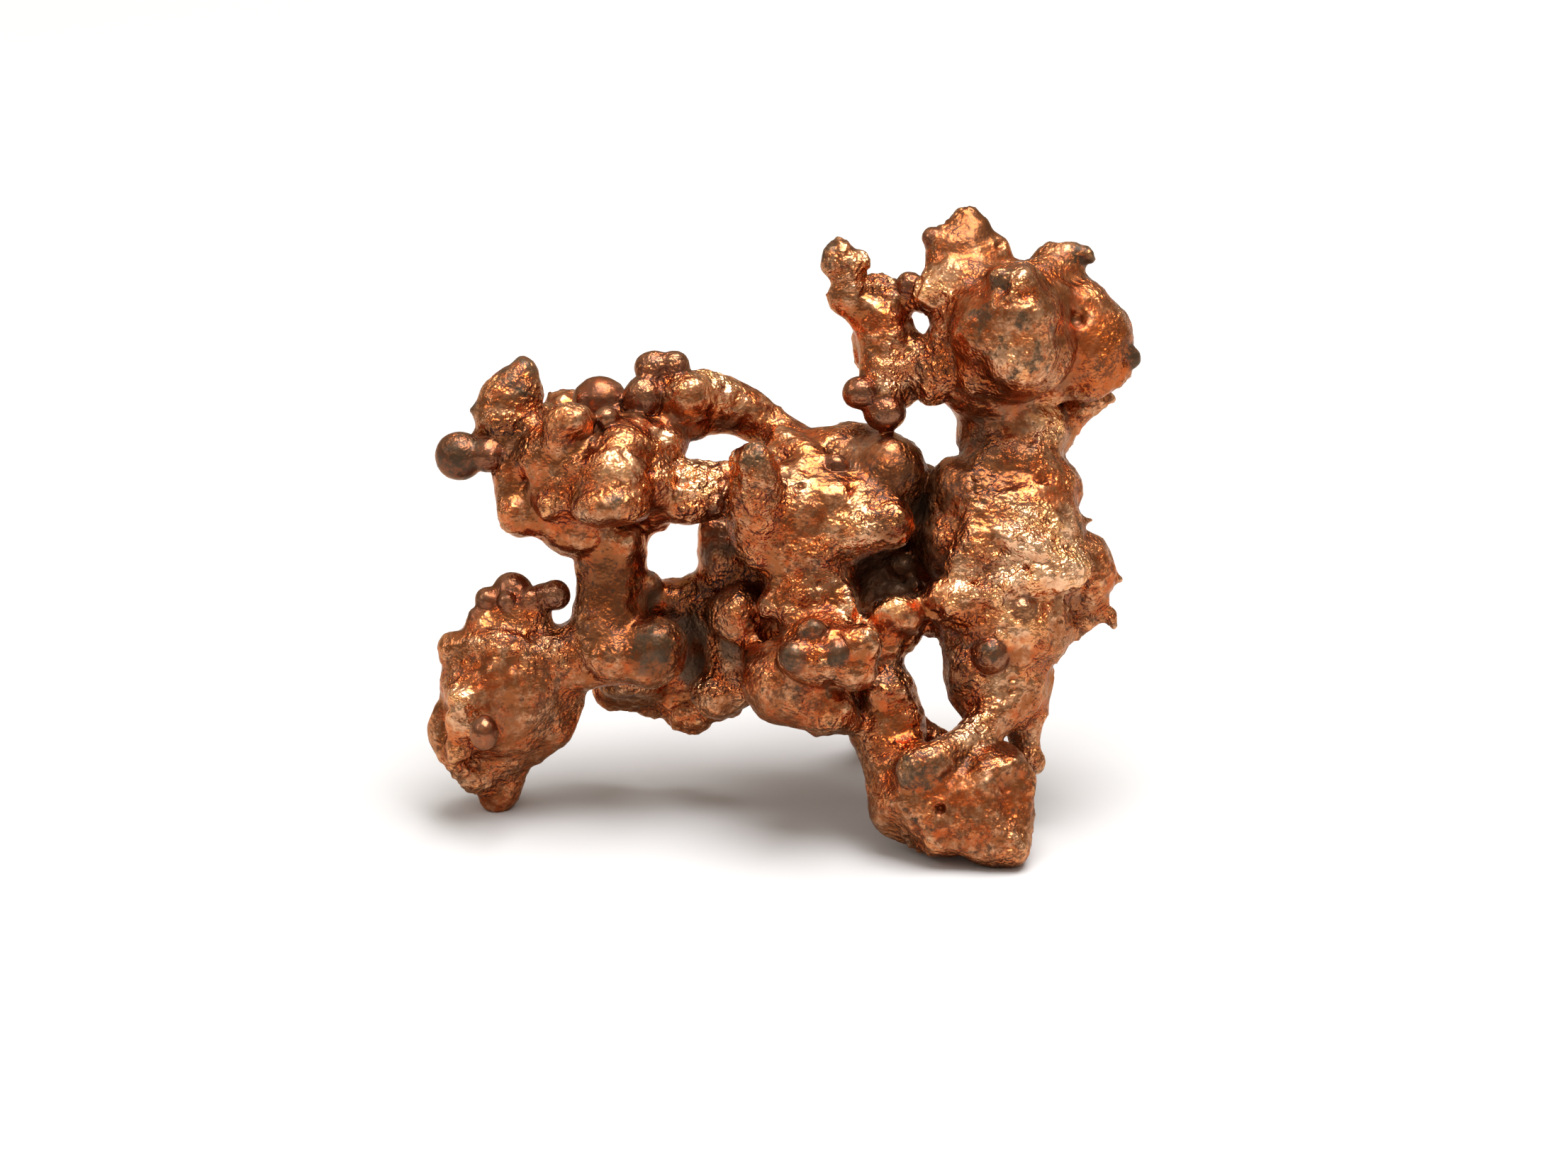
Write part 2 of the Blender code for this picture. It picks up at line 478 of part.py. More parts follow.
def add_limb(mesh, name, points):
    """A curve with a round bevel through the limb's points, with a ball at each end."""
    curve = bpy.data.curves.new(name, "CURVE")
    curve.dimensions = "3D"
    curve.bevel_depth = MM
    curve.bevel_resolution = 5
    curve.use_fill_caps = True
    curve.resolution_u = 6
    spline = curve.splines.new("BEZIER")
    spline.bezier_points.add(len(points) - 1)
    for knot, (across, up, out, radius) in zip(spline.bezier_points, points):
        knot.co = on_board(across, up, out)
        knot.radius = radius
        knot.handle_left_type = knot.handle_right_type = "AUTO"
    guide = bpy.data.objects.new(name, curve)
    bar = bpy.data.meshes.new_from_object(guide)
    mesh.from_mesh(bar)
    bpy.data.objects.remove(guide)
    for across, up, out, radius in (points[0], points[-1]):
        add_lump(mesh, (across, up, out), (radius,) * 3)


def finished_mesh(name, mesh):
    """A bmesh as mesh data."""
    data = bpy.data.meshes.new(name)
    mesh.to_mesh(data)
    mesh.free()
    return data


def forms():
    """Every lump and limb, overlapping, in one mesh."""
    mesh = bmesh.new()
    for lump in LUMPS:
        add_lump(mesh, *lump)
    for name, points in LIMBS.items():
        add_limb(mesh, name, points)
    return finished_mesh("forms", mesh)


def cutter(name, data):
    """An object that only cuts."""
    tool = bpy.data.objects.new(name, data)
    bpy.context.scene.collection.objects.link(tool)
    tool.hide_render = True
    tool.display_type = "WIRE"
    return tool


def pit_cutter():
    """All the pits."""
    mesh = bmesh.new()
    for pit in PITS:
        add_lump(mesh, *pit)
    return cutter("pits", finished_mesh("pits", mesh))


def ground_cutter():
    """A slab under z = 0, which leaves each foot a small flat face to stand on."""
    mesh = bmesh.new()
    slab = Matrix.Translation((0, 0, -5 * MM)) @ Matrix.Diagonal((60 * MM, 60 * MM, 10 * MM, 1))
    bmesh.ops.create_cube(mesh, size=1, matrix=slab)
    return cutter("ground", finished_mesh("ground", mesh))


def copper():
    """Bare copper with a brown tarnish."""
    material = bpy.data.materials.new("copper")
    material.use_nodes = True
    shader = material.node_tree.nodes["Principled BSDF"]
    shader.inputs["Base Color"].default_value = COPPER
    shader.inputs["Metallic"].default_value = 1
    shader.inputs["Roughness"].default_value = 0.35
    return material


def fuse(nugget, name):
    """Voxels make whatever overlaps one even skin."""
    step = nugget.modifiers.new(name, "REMESH")
    step.mode = "VOXEL"
    step.voxel_size = GRAIN
    step.use_smooth_shade = True


def cut(nugget, tool):
    """An exact Boolean takes the tool away."""
    step = nugget.modifiers.new(tool.name, "BOOLEAN")
    step.operation = "DIFFERENCE"
    step.solver = "EXACT"
    step.object = tool


def relax(nugget):
    """Smoothing rounds the creases between the forms."""
    step = nugget.modifiers.new("relax", "SMOOTH")
    step.factor = 0.5
    step.iterations = RELAX


def hackle(nugget):
    """A cloud of swells and hollows breaks up the round forms."""
    clouds = bpy.data.textures.new("hackle", "CLOUDS")
    clouds.noise_scale = HACKLE_SIZE
    clouds.noise_depth = 1
    step = nugget.modifiers.new("hackle", "DISPLACE")
    step.texture = clouds
    step.texture_coords = "LOCAL"
    step.strength = HACKLE
    step.mid_level = 0.5


def thin(nugget):
    """Merges triangles where the surface is even, down to TRIANGLES of them."""
    fine = nugget.evaluated_get(bpy.context.evaluated_depsgraph_get()).to_mesh()
    fine.calc_loop_triangles()
    step = nugget.modifiers.new("thin", "DECIMATE")
    step.ratio = TRIANGLES / len(fine.loop_triangles)


def make_nugget():
    """One solid, fused, pitted, rounded, roughened, thinned and stood on the ground."""
    nugget = bpy.data.objects.new("copper_nugget", forms())
    bpy.context.scene.collection.objects.link(nugget)
    nugget.data.materials.append(copper())
    fuse(nugget, "fuse")
    cut(nugget, pit_cutter())
    fuse(nugget, "even out")
    relax(nugget)
    hackle(nugget)
    thin(nugget)
    cut(nugget, ground_cutter())


for old in list(bpy.data.objects):
    bpy.data.objects.remove(old)
make_nugget()
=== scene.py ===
# %% [markdown]
# # A nugget of native copper
# Native copper grows as metal in the cracks of a rock. What comes out is one solid piece, here a
# branching mass of lobes, beads and necks about 40 mm across, with windows right through it.
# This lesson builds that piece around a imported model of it, in metres, with +Z up.
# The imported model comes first, because the new surface has to stay in the box that it fills.

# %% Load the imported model
import math
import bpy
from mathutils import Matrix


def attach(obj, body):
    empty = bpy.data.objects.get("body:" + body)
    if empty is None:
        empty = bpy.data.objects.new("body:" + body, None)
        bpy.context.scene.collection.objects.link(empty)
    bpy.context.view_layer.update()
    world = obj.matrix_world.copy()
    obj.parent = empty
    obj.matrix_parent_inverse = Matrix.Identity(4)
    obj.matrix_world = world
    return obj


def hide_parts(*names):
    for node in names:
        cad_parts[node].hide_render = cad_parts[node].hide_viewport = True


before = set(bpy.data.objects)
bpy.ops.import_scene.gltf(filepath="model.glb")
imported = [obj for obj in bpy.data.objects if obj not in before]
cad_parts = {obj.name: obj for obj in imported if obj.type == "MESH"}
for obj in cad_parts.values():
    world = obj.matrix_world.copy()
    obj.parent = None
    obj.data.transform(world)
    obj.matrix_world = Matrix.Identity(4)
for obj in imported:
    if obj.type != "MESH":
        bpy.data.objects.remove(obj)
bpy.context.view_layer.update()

from types import SimpleNamespace

import bmesh
import bpy
import numpy as np
from mathutils import Vector

# %% [markdown]
# ## A board to lay the forms on
# A nugget has no drawing. Its forms are laid out on a board that leans back a little, the way the
# nugget is seen when it stands on a table below the eye. A place on the board is three numbers in
# millimetres: across to the right, up the board, and out from it towards the reader. Such places
# are easy to think about, and one turn about the X axis takes them all to the nugget's own frame.

# %% The leaning board
MM = 0.001
LEAN = math.radians(20)
ORIGIN = np.array((0.28, 3.29, -5.08))  # the board's place under the middle of the nugget


def on_board(places):
    """Board places in millimetres as points in metres: the middle of the nugget is taken away, and
    up and out are turned by the lean about the X axis."""
    across, up, out = np.moveaxis((np.asarray(places, float) - ORIGIN) * MM, -1, 0)
    cos, sin = math.cos(LEAN), math.sin(LEAN)
    return np.stack((across, up * sin - out * cos, up * cos + out * sin), axis=-1)


def to_board(points):
    """The way back: points in metres as board places in millimetres."""
    x, y, z = np.moveaxis(np.asarray(points, float) / MM, -1, 0)
    cos, sin = math.cos(LEAN), math.sin(LEAN)
    return np.stack((x, y * sin + z * cos, z * sin - y * cos), axis=-1) + ORIGIN


print("the board's corner (0, 0, 0) is at", (on_board((0, 0, 0)) / MM).round(2), "mm")

# %% [markdown]
# ## The camera
# A small thing is seen from close by with a long lens, so that it looks calm and its sizes stay
# true. The camera stands square to the board, about half a metre from it.

# %% Camera
VIEW_CENTRE = (0.24, 15.62)  # across and up, mm
VIEW_DISTANCE = 491.56  # out from the board, mm


def add_camera():
    """A 200 mm lens that looks straight at the board."""
    lens = bpy.data.cameras.new("camera")
    lens.lens = 200
    lens.sensor_width = 36
    lens.clip_start = 0.01
    camera = bpy.data.objects.new("camera", lens)
    bpy.context.scene.collection.objects.link(camera)
    camera.location = on_board((*VIEW_CENTRE, VIEW_DISTANCE))
    camera.rotation_euler = (math.pi / 2 - LEAN, 0, 0)
    bpy.context.scene.camera = camera
    print("camera at", tuple(round(c, 3) for c in camera.location))


add_camera()

# %% [markdown]
# ## Two surfaces: a ball and a bar
# Every form starts as one of two surfaces. A lump is a sphere stretched along three directions.
# A bar is a round profile carried along a smooth line, with its radius changing on the way.
# Both are worked out as grids of points, all at once, and both are closed: a lump at its poles,
# a bar with half a ball at each end. They could be sculpted instead, but numbers stay editable.

# %% Lump surfaces
RINGS, AROUND = 14, 24


def closed_grid(rings, around):
    """The triangles of a grid that is a pole, then `rings` rings of `around` points, then a pole.
    Two neighbouring points of a ring and the two beside them on the next ring make two triangles,
    and each end ring makes a fan with its pole."""
    ring, step = np.meshgrid(np.arange(rings - 1), np.arange(around), indexing="ij")
    a = 1 + ring * around + step
    b = 1 + ring * around + (step + 1) % around
    quads = np.stack((a, a + around, b + around, a, b + around, b), axis=-1).reshape(-1, 3)
    first = np.arange(around) + 1
    first_fan = np.stack((np.zeros_like(first), first, first % around + 1), axis=-1)
    last = first + (rings - 1) * around
    after = (first % around + 1) + (rings - 1) * around
    last_fan = np.stack((last, np.full_like(last, rings * around + 1), after), axis=-1)
    return np.concatenate((first_fan, quads, last_fan))


def unit_ball():
    """Points at distance 1: the polar angle runs down the rings, the other angle runs around."""
    polar = np.linspace(0, math.pi, RINGS + 2)[1:-1, None]
    angle = np.arange(AROUND) * 2 * math.pi / AROUND
    ring = (np.sin(polar) * np.cos(angle), np.sin(polar) * np.sin(angle))
    rings = np.stack((*ring, np.cos(polar) + 0 * angle), axis=-1).reshape(-1, 3)
    return np.vstack(((0, 0, 1), rings, (0, 0, -1)))


def lump_surfaces(rows):
    """Stretched balls. A row is the centre (across, up, out), the three half sizes and, if it has
    one, a turn on the board in degrees: point = centre + turn(ball point x half sizes)."""
    rows = np.array([(*row, 0)[:7] for row in rows], float)
    points = unit_ball()[None] * rows[:, None, 3:6]
    cos, sin = np.cos(np.radians(rows[:, 6:])), np.sin(np.radians(rows[:, 6:]))
    x, y, z = np.moveaxis(points, -1, 0)
    points = np.stack((x * cos - y * sin, x * sin + y * cos, z), axis=-1) + rows[:, None, :3]
    one = closed_grid(RINGS, AROUND)
    triangles = one[None] + np.arange(len(rows))[:, None, None] * points.shape[1]
    return on_board(points.reshape(-1, 3)), triangles.reshape(-1, 3)


ball, ball_faces = lump_surfaces([(0, 0, 0, 1, 1, 1)])
print("one lump:", len(ball), "points,", len(ball_faces), "triangles")

# %% Bar surfaces
BAR_SIDES, BAR_PIECES = 20, 8
CAP_ANGLES = np.radians((80, 60, 40, 20))


def smooth_line(knots):
    """A line through all the knots. Between two of them it is the cubic whose slope at a knot is
    half the way from the knot before to the knot after."""
    knots = np.asarray(knots, float)
    padded = np.vstack((2 * knots[0] - knots[1], knots, 2 * knots[-1] - knots[-2]))
    p0, p1, p2, p3 = (padded[i:len(padded) - 3 + i, None] for i in range(4))
    t = (np.arange(BAR_PIECES) / BAR_PIECES)[:, None]
    slope_in, slope_out = (p2 - p0) / 2, (p3 - p1) / 2
    cubic = (
        p1
        + slope_in * t
        + (3 * (p2 - p1) - 2 * slope_in - slope_out) * t**2
        + (2 * (p1 - p2) + slope_in + slope_out) * t**3
    )
    return np.vstack((cubic.reshape(-1, knots.shape[1]), knots[-1]))


def bar_surface(knots):
    """A round profile carried along the line: point = centre + radius x (cos x side + sin x rise),
    with side and rise square to the line. The radius falls to nothing in a quarter circle past each
    end, so both ends are half balls."""
    line = smooth_line(knots)
    centre, radius = line[:, :3], np.maximum(line[:, 3], 0.05)
    along = np.gradient(centre, axis=0)
    along /= np.linalg.norm(along, axis=1, keepdims=True)
    reach, narrow, steps = np.sin(CAP_ANGLES)[:, None], np.cos(CAP_ANGLES), len(CAP_ANGLES)
    head = centre[0] - along[0] * radius[0] * reach
    tail = (centre[-1] + along[-1] * radius[-1] * reach)[::-1]
    centre = np.vstack((head, centre, tail))
    radius = np.concatenate((radius[0] * narrow, radius, (radius[-1] * narrow)[::-1]))
    along = np.vstack((np.tile(along[0], (steps, 1)), along, np.tile(along[-1], (steps, 1))))
    least = np.eye(3)[np.abs(along).mean(0).argmin()]
    side = np.cross(least, along)
    side /= np.linalg.norm(side, axis=1, keepdims=True)
    rise = np.cross(along, side)
    angle = np.arange(BAR_SIDES) * 2 * math.pi / BAR_SIDES
    profile = np.cos(angle)[:, None] * side[:, None] + np.sin(angle)[:, None] * rise[:, None]
    rings = (centre[:, None] + radius[:, None, None] * profile).reshape(-1, 3)
    first = centre[steps] - along[0] * radius[steps]
    last = centre[-steps - 1] + along[-1] * radius[-steps - 1]
    triangles = closed_grid(len(centre), BAR_SIDES)[:, ::-1]
    return on_board(np.vstack((first, rings, last))), triangles


rod, rod_faces = bar_surface([(0, 0, 0, 1), (0, 4, 0, 1)])
print("one bar:", len(rod), "points,", len(rod_faces), "triangles")

# %% [markdown]
# ## The forms, and the left shoulder first
# The next cells lay out the nugget part by part. A row of LUMPS is across, up, out, the half sizes
# along the same three, and for some a turn in degrees. Drops that grew by themselves go into
# BEADS, because they stay smooth and brown first. A bar is a list of knots: across, up, out and
# the radius there. The left shoulder is a cluster of lobes with a row of drops on its crest.

# %% Left shoulder, crest and claw
LUMPS, BEADS, BARS = [], [], []


def counted():
    """How many forms are laid out."""
    return f"{len(LUMPS)} lumps, {len(BEADS)} beads and {len(BARS)} bars so far"


LUMPS += [
    (-11.4, 21.6, 0.4, 3.4, 3.2, 3.4), (-12.4, 23, 1.6, 2.4, 2, 2.2),
    (-9.2, 22, 3.5, 2.1, 1.5, 2.1, -12), (-9.5, 20.2, 4.1, 2.3, 1.15, 2, 4),
    (-9.4, 21, 3.2, 2.4, 1.9, 2.2), (-14.8, 19.9, 0.8, 1.2, 1.4, 1.7),
    (-14, 19.75, 0.6, 1.3, 1.15, 1.6), (-15.1, 21.6, 0.6, 1, 1.5, 1.5),
    (-14.3, 22.8, 0.6, 1.6, 1.4, 1.8), (-11.4, 18.75, 0.6, 2, 1.3, 2),
    (-12.4, 19.25, 0.8, 1.4, 1.1, 1.7), (-8.6, 18.2, 1.2, 1, 0.95, 1.2),
    (-8.9, 17.8, 0.2, 1, 1.4, 1.6), (-8.3, 18.2, -0.2, 0.68, 1.2, 1.2),
    (-11.2, 22.4, 2.2, 2.2, 1.9, 2.2), (-9, 23.4, 2.4, 2, 1.4, 1.9),
    (-7.2, 21.6, 1.8, 1.4, 1.8, 1.9), (-7.8, 19.1, -0.1, 0.75, 0.5, 1.1),
    (-6.9, 19.7, 0.2, 0.8, 0.9, 1.2), (-7.4, 16, -0.8, 0.7, 0.6, 1.2),
    (-5, 15.9, -2, 0.7, 0.6, 1.2), (-4.05, 18.8, -1.5, 0.6, 1, 1),
    (-4.9, 24.5, -0.6, 0.8, 0.5, 0.8), (-5.2, 26.4, 0.6, 1.35, 1.35, 1.3),
    (-6.65, 23.7, 0.4, 1.45, 1.3, 1.8), (-8.6, 24.3, 1.2, 1.8, 1.2, 1.6),
    (-8.4, 23, 1.6, 2, 1.3, 1.8), (-7.1, 20.8, 0.8, 1.3, 1.9, 1.8),
    (-12.1, 25.9, -3.2, 1.35, 1, 1.5), (-13.2, 25, -1.4, 1.2, 1, 1.6),
    (-11.6, 24.4, -2.6, 1.9, 1.5, 2), (-9.6, 25, -0.8, 1.6, 1.1, 1.4),
    (-6.8, 25, -0.8, 1.9, 1, 1.6), (-15.3, 26.45, 0.4, 1.95, 1.5, 1.5, 38),
    (-14.3, 26.6, 0.3, 0.85, 1.45, 1.3), (-14.45, 27.8, 0.3, 0.8, 0.9, 0.9),
    (-14.95, 27.5, 0.9, 0.85, 0.6, 0.7), (-15.8, 25.2, 0.7, 1.5, 1.2, 1.4),
    (-15.6, 24.2, 0.2, 1.65, 1.3, 1.5), (-14.2, 24.8, 0.2, 1.2, 1.2, 1.5),
    (-11.8, 24.9, 3.5, 1.45, 1.15, 1.6, 8), (-12.1, 23.9, 3, 1.1, 1, 1.4),
    (-13.05, 20.2, 2.9, 0.8, 0.8, 0.8), (-12.3, 21.7, 3.1, 0.6, 0.5, 0.6),
]
BEADS += [
    (-9.7, 25.2, 2.6, 0.65, 0.6, 0.8), (-10.15, 26.1, -0.8, 1.58, 1.48, 1.2),
    (-7.7, 26.4, 0.4, 1.1, 1.15, 1.1), (-7.15, 28.05, -0.2, 1.05, 0.95, 1),
    (-5.95, 28.2, 0, 0.85, 0.8, 0.85), (-18.05, 23.05, 0.8, 1.34, 1.34, 1.32),
    (-16.45, 23.1, 1.2, 0.95, 0.92, 1),
]
BARS += [
    [(-6.8, 26.6, -0.2, 0.7), (-6.7, 28, -0.2, 0.7)],
    [(-15.9, 26.4, 0.4, 0.6), (-16.8, 26, 0.4, 0.45), (-17.4, 25.6, 0.3, 0.25)],
    [(-12.6, 26, -3, 0.5), (-13.1, 26.7, -3.2, 0.25)],
]
print(counted())

# %% [markdown]
# ## The middle
# The trunk is the broad dome in the middle. A link and an arch join it to the shoulder and leave a
# window between them, and a finger stands up in front of it.

# %% Link, arch, trunk and finger
LUMPS += [
    (-4.8, 21.1, 0.8, 2.4, 1.75, 1.6), (-5.4, 20.6, 1.2, 1.6, 1.52, 1.5),
    (-2.45, 22.9, 2.4, 0.45, 0.7, 0.8), (-0.2, 22.9, 0, 0.9, 1, 1.2), (-3.6, 21, 1, 1.2, 1.5, 1.3),
    (-3, 22.1, 0.8, 0.7, 0.8, 0.8), (1.2, 19.6, 1.4, 3.4, 3, 2.7),
    (-0.5, 19.4, 1.2, 2.4, 2.4, 2.5), (1.4, 17.8, 1.5, 2.9, 2.2, 2.6),
    (4, 18.9, 2, 3, 1.8, 2.3, 18), (6.1, 19.3, 2.6, 1.5, 1.5, 1.6), (6.6, 18.7, 2.8, 0.9, 0.9, 1),
    (4.4, 20.6, 1.2, 2.3, 1.7, 2.3), (3.2, 20.4, 1.6, 2, 1.6, 2.4), (5.4, 21.4, -0.8, 2.8, 3.3, 3),
    (6.2, 22, 0.4, 2.05, 2.4, 2.5), (4.6, 21.2, -1.8, 3.2, 3.6, 3.2), (1, 21.4, 1.6, 2, 1.3, 1.6),
    (8.4, 21.2, -1.4, 1, 1.5, 1.3), (8.3, 18.9, -1.8, 1, 1.7, 1.4), (2.8, 23.3, -0.8, 2, 1.5, 1.8),
    (4, 23.5, -1, 1.7, 1.6, 1.7), (1.7, 16, 1.2, 2.6, 2.4, 2.5), (0.6, 14.2, 3, 0.7, 0.7, 0.7),
    (-0.4, 14.7, 2.2, 0.9, 0.85, 0.9), (2.6, 13.4, 1.6, 2.6, 1.8, 2.4),
    (3.7, 14.8, 2.6, 0.8, 1.2, 1), (5.2, 16.3, -2, 0.8, 0.7, 0.9),
    (6.9, 16.9, -1.8, 0.9, 0.7, 0.9), (6.4, 15.3, -1.6, 0.75, 0.6, 0.8),
    (7.7, 15.6, -1.3, 0.6, 0.7, 0.8), (5, 15, -1.5, 0.6, 0.7, 0.8),
]
BEADS += [
    (-3.6, 20.3, 2.2, 0.4, 0.5, 0.5), (3.2, 22.55, 1.9, 0.68, 0.6, 0.7),
]
BARS += [
    [(-0.9, 18, 2.2, 1.5), (-1.2, 20, 3.2, 1.5), (-1.4, 22, 4.2, 1.38), (-1.45, 22.8, 4.6, 1.15)],
    [(0.6, 23.4, 0.4, 0.7), (1.5, 22.9, 1.2, 0.75), (2.2, 22.5, 1.6, 0.6)],
    [(0.2, 24.2, -0.2, 0.7), (1.6, 23.2, 1, 0.75), (2.3, 22.6, 1.6, 0.65)],
    [
        (-5.6, 26.3, -0.4, 1.65), (-4, 26.1, -1.6, 1.68), (-2.6, 25.8, -2.2, 1.5),
        (-1.35, 25.25, -2.4, 1.3), (0, 24.35, -2.2, 1.18), (1.4, 23.3, -1.4, 1.35),
        (2.6, 22.4, -1, 1.4),
    ],
]
print(counted())

# %% [markdown]
# ## Under the trunk
# A blunt muzzle with three drops on it juts out over the belly, and a leg runs down to the right.

# %% Muzzle, belly and leg
LUMPS += [
    (2.7, 11.8, 5.6, 2.8, 1.7, 1.9), (2.4, 12.2, 3.4, 2.4, 1.9, 2.4),
    (4.6, 12.5, 6.4, 1.15, 1.2, 1.2), (4.2, 10.9, 6, 1.3, 1, 1.3),
    (0.9, 10.3, 2.6, 3.1, 2.6, 2.6, -10), (2.6, 8.75, 3, 1.75, 1.45, 1.8),
    (5.4, 7.6, 1.2, 1.6, 1.4, 1.6), (3.4, 8.15, 2.8, 1.5, 0.75, 1.2),
    (3.2, 8.75, 3.8, 1.2, 1.2, 1.2), (2.1, 7.5, 2.4, 0.45, 0.45, 0.5),
    (6.7, 14.1, 3.1, 1.5, 1.25, 1.4), (6.9, 12.9, 1.8, 1.1, 1, 1.2), (8.6, 13.6, 0.4, 1.2, 0.7, 1),
    (5.5, 12.8, 2, 1.6, 1.7, 1.8), (5.9, 10, 2.2, 1.6, 1.6, 1.7), (4.2, 9.8, 1, 1.2, 1.4, 1.4),
    (7.9, 13.9, 1.2, 1.2, 0.9, 1.2), (-1.5, 11.7, 0.8, 0.75, 1.2, 1.2),
]
BEADS += [
    (1.8, 13.3, 6.5, 0.85, 0.6, 0.75), (0.75, 11.8, 6.8, 0.75, 0.85, 0.8, 10),
    (3.2, 12, 7, 0.6, 0.75, 0.75, -10),
]
BARS += [
    [
        (5.3, 12.4, 1.4, 1.65), (5.35, 11.2, 1.3, 1.6), (5.8, 10, 1.2, 1.7), (6.15, 8.4, 1.4, 1.9),
        (6.3, 6.4, 1.8, 1.85), (6.8, 4.4, 2.4, 1.8),
    ],
    [(7.2, 7.9, -0.4, 0.9), (9, 6.85, -0.6, 0.85), (10.6, 6.1, 0.4, 0.9)],
]
print(counted())

# %% [markdown]
# ## The right foot
# The foot is the heaviest, most angular form. A spur lies over it, and a thin strut behind the
# spur leaves a slot that light shines through.

# %% Right foot, spur and strut
LUMPS += [
    (12, 3.6, 3.4, 2.3, 3.3, 3), (8.8, 2.8, 3.2, 2.9, 2.2, 2.8), (6.6, 3.4, 2.4, 1.6, 2, 2.2),
    (10, 4.4, 2.8, 2.4, 2.4, 2.4), (10.3, 2.7, 4.3, 2.3, 2, 2), (12, 0.95, 4, 1.9, 0.85, 1.6),
    (13.1, 1.2, 4, 0.95, 1.25, 1.6), (8.6, 1.3, 3.6, 1.4, 0.8, 1.6), (12, 5.9, 2.4, 1.8, 1, 1.6),
    (8.4, 3.8, 3.9, 2.6, 2.2, 1.7), (7.4, 5, 3, 1.9, 2.2, 1.8), (11.2, 3.2, 4.7, 2.7, 2.3, 1.6),
    (12.6, 4.4, 4, 1.8, 2.2, 1.8), (13.4, 3.2, 3, 0.85, 2.3, 2.4),
    (14.5, 5.75, -0.3, 0.62, 0.7, 0.65),
]
BARS += [
    [
        (12.6, 9.8, 1.4, 1.8), (11.4, 7.8, 2.6, 1.15), (10, 6.75, 3.8, 0.95),
        (8.6, 5.95, 4.9, 1.1), (7.7, 5.5, 5.3, 1.25),
    ],
    [
        (14.8, 10.7, -0.2, 0.8), (14.55, 9.2, -0.4, 0.8), (13.8, 7.6, -0.4, 0.9),
        (13.8, 6.6, -0.4, 0.85), (14.1, 6, -0.4, 0.75),
    ],
]
print(counted())

# %% [markdown]
# ## The right body
# Ledges step down its front. A fin and a small hook, both thin as foil, stand off its right edge.

# %% Right body and its ledges
LUMPS += [
    (13.2, 17.6, 0, 4.1, 4.2, 4), (13, 13.6, 0.6, 3.5, 3.1, 3.4), (12.3, 10.1, 0.8, 2.8, 2.5, 2.4),
    (17.05, 16.7, -0.6, 1.95, 2, 2.2), (13.2, 21.2, -0.6, 3.8, 2.6, 3.2),
    (13.1, 22.6, 0, 2.9, 2.4, 2.6), (10, 13, 1.2, 1, 1.2, 1.4), (10.9, 9.5, 1, 1.4, 1.2, 1.4),
    (14.4, 16.4, 2.4, 3, 1.4, 1.8, 6), (11.4, 18, 2.4, 1.5, 2, 1.8, 20),
    (13.4, 19.4, 0.9, 3.6, 2.6, 2.8), (9.8, 21, 0.6, 1.5, 2.05, 2), (11, 20.6, 1, 2, 2.3, 2.2),
    (9.4, 18.6, 0.6, 1.3, 1.9, 2.2), (9.6, 18, -0.6, 1.8, 2.2, 2.4),
    (9.8, 14.8, 2.6, 2.1, 1.4, 1.8, -12), (10.8, 11.2, 1.4, 1.65, 2.2, 1.8),
    (16.5, 21.2, -0.6, 0.6, 1.3, 0.9), (17.4, 19.3, 0, 0.35, 0.3, 0.35),
    (14.6, 12.9, -0.4, 1.9, 1.6, 2.2), (13.6, 9.4, 0, 1.3, 1.5, 1.4),
    (15, 10.9, 0.2, 0.5, 0.5, 0.5), (15.5, 10.4, -0.1, 0.25, 0.2, 0.25),
    (11.6, 19.4, 2.9, 1.5, 0.8, 0.9, -30), (13.6, 18.2, 3.5, 2.3, 0.8, 0.9, -28),
    (16, 16.8, 2, 1.5, 1.1, 1.4), (16.9, 14.95, -0.8, 1.6, 0.9, 1.6),
    (12.8, 15.8, 3.5, 1.9, 0.8, 0.9, 14), (10.6, 17, 3, 1.3, 1.2, 1),
]
BEADS += [
    (11.8, 11.9, 3.1, 1.05, 1.05, 1.2), (13.6, 14.4, 3.3, 0.75, 0.8, 0.8),
]
BARS += [
    [(12, 20.3, 2.2, 0.5), (13.8, 19.5, 2.8, 0.5), (15.6, 19.4, 1.8, 0.45), (17.3, 19.3, 0, 0.3)],
    [(11.6, 20.9, 2.8, 0.4), (13, 20, 3.3, 0.4), (14.6, 19.5, 3.1, 0.35)],
    [(9.8, 15.6, 3.6, 0.35), (11, 15.4, 4.1, 0.35), (12.4, 14.8, 4, 0.3)],
    [(18.2, 17.4, -0.8, 0.6), (18.3, 18.2, -0.8, 0.25), (17.9, 18.6, -0.8, 0.1)],
    [(18.6, 16.2, -0.8, 0.6), (19.2, 16.1, -0.8, 0.25)],
    [
        (16.6, 13.5, -0.8, 0.9), (18.2, 14.1, -1, 0.48), (18.75, 14.15, -1, 0.42),
        (18.95, 13.5, -1, 0.33),
    ],
    [(16, 13, -0.6, 0.7), (17, 12.9, -0.6, 0.25)],
    [
        (14.2, 24, -1.5, 2), (16.1, 25.35, -2, 1.25), (17.6, 26.1, -2.2, 0.85),
        (18.7, 26.35, -2.2, 0.4),
    ],
]
print(counted())

# %% [markdown]
# ## The head
# A neck carries the head, which has a round bulge in front and a crest above. A side branch with
# drops on it hangs to its left and closes one more window.

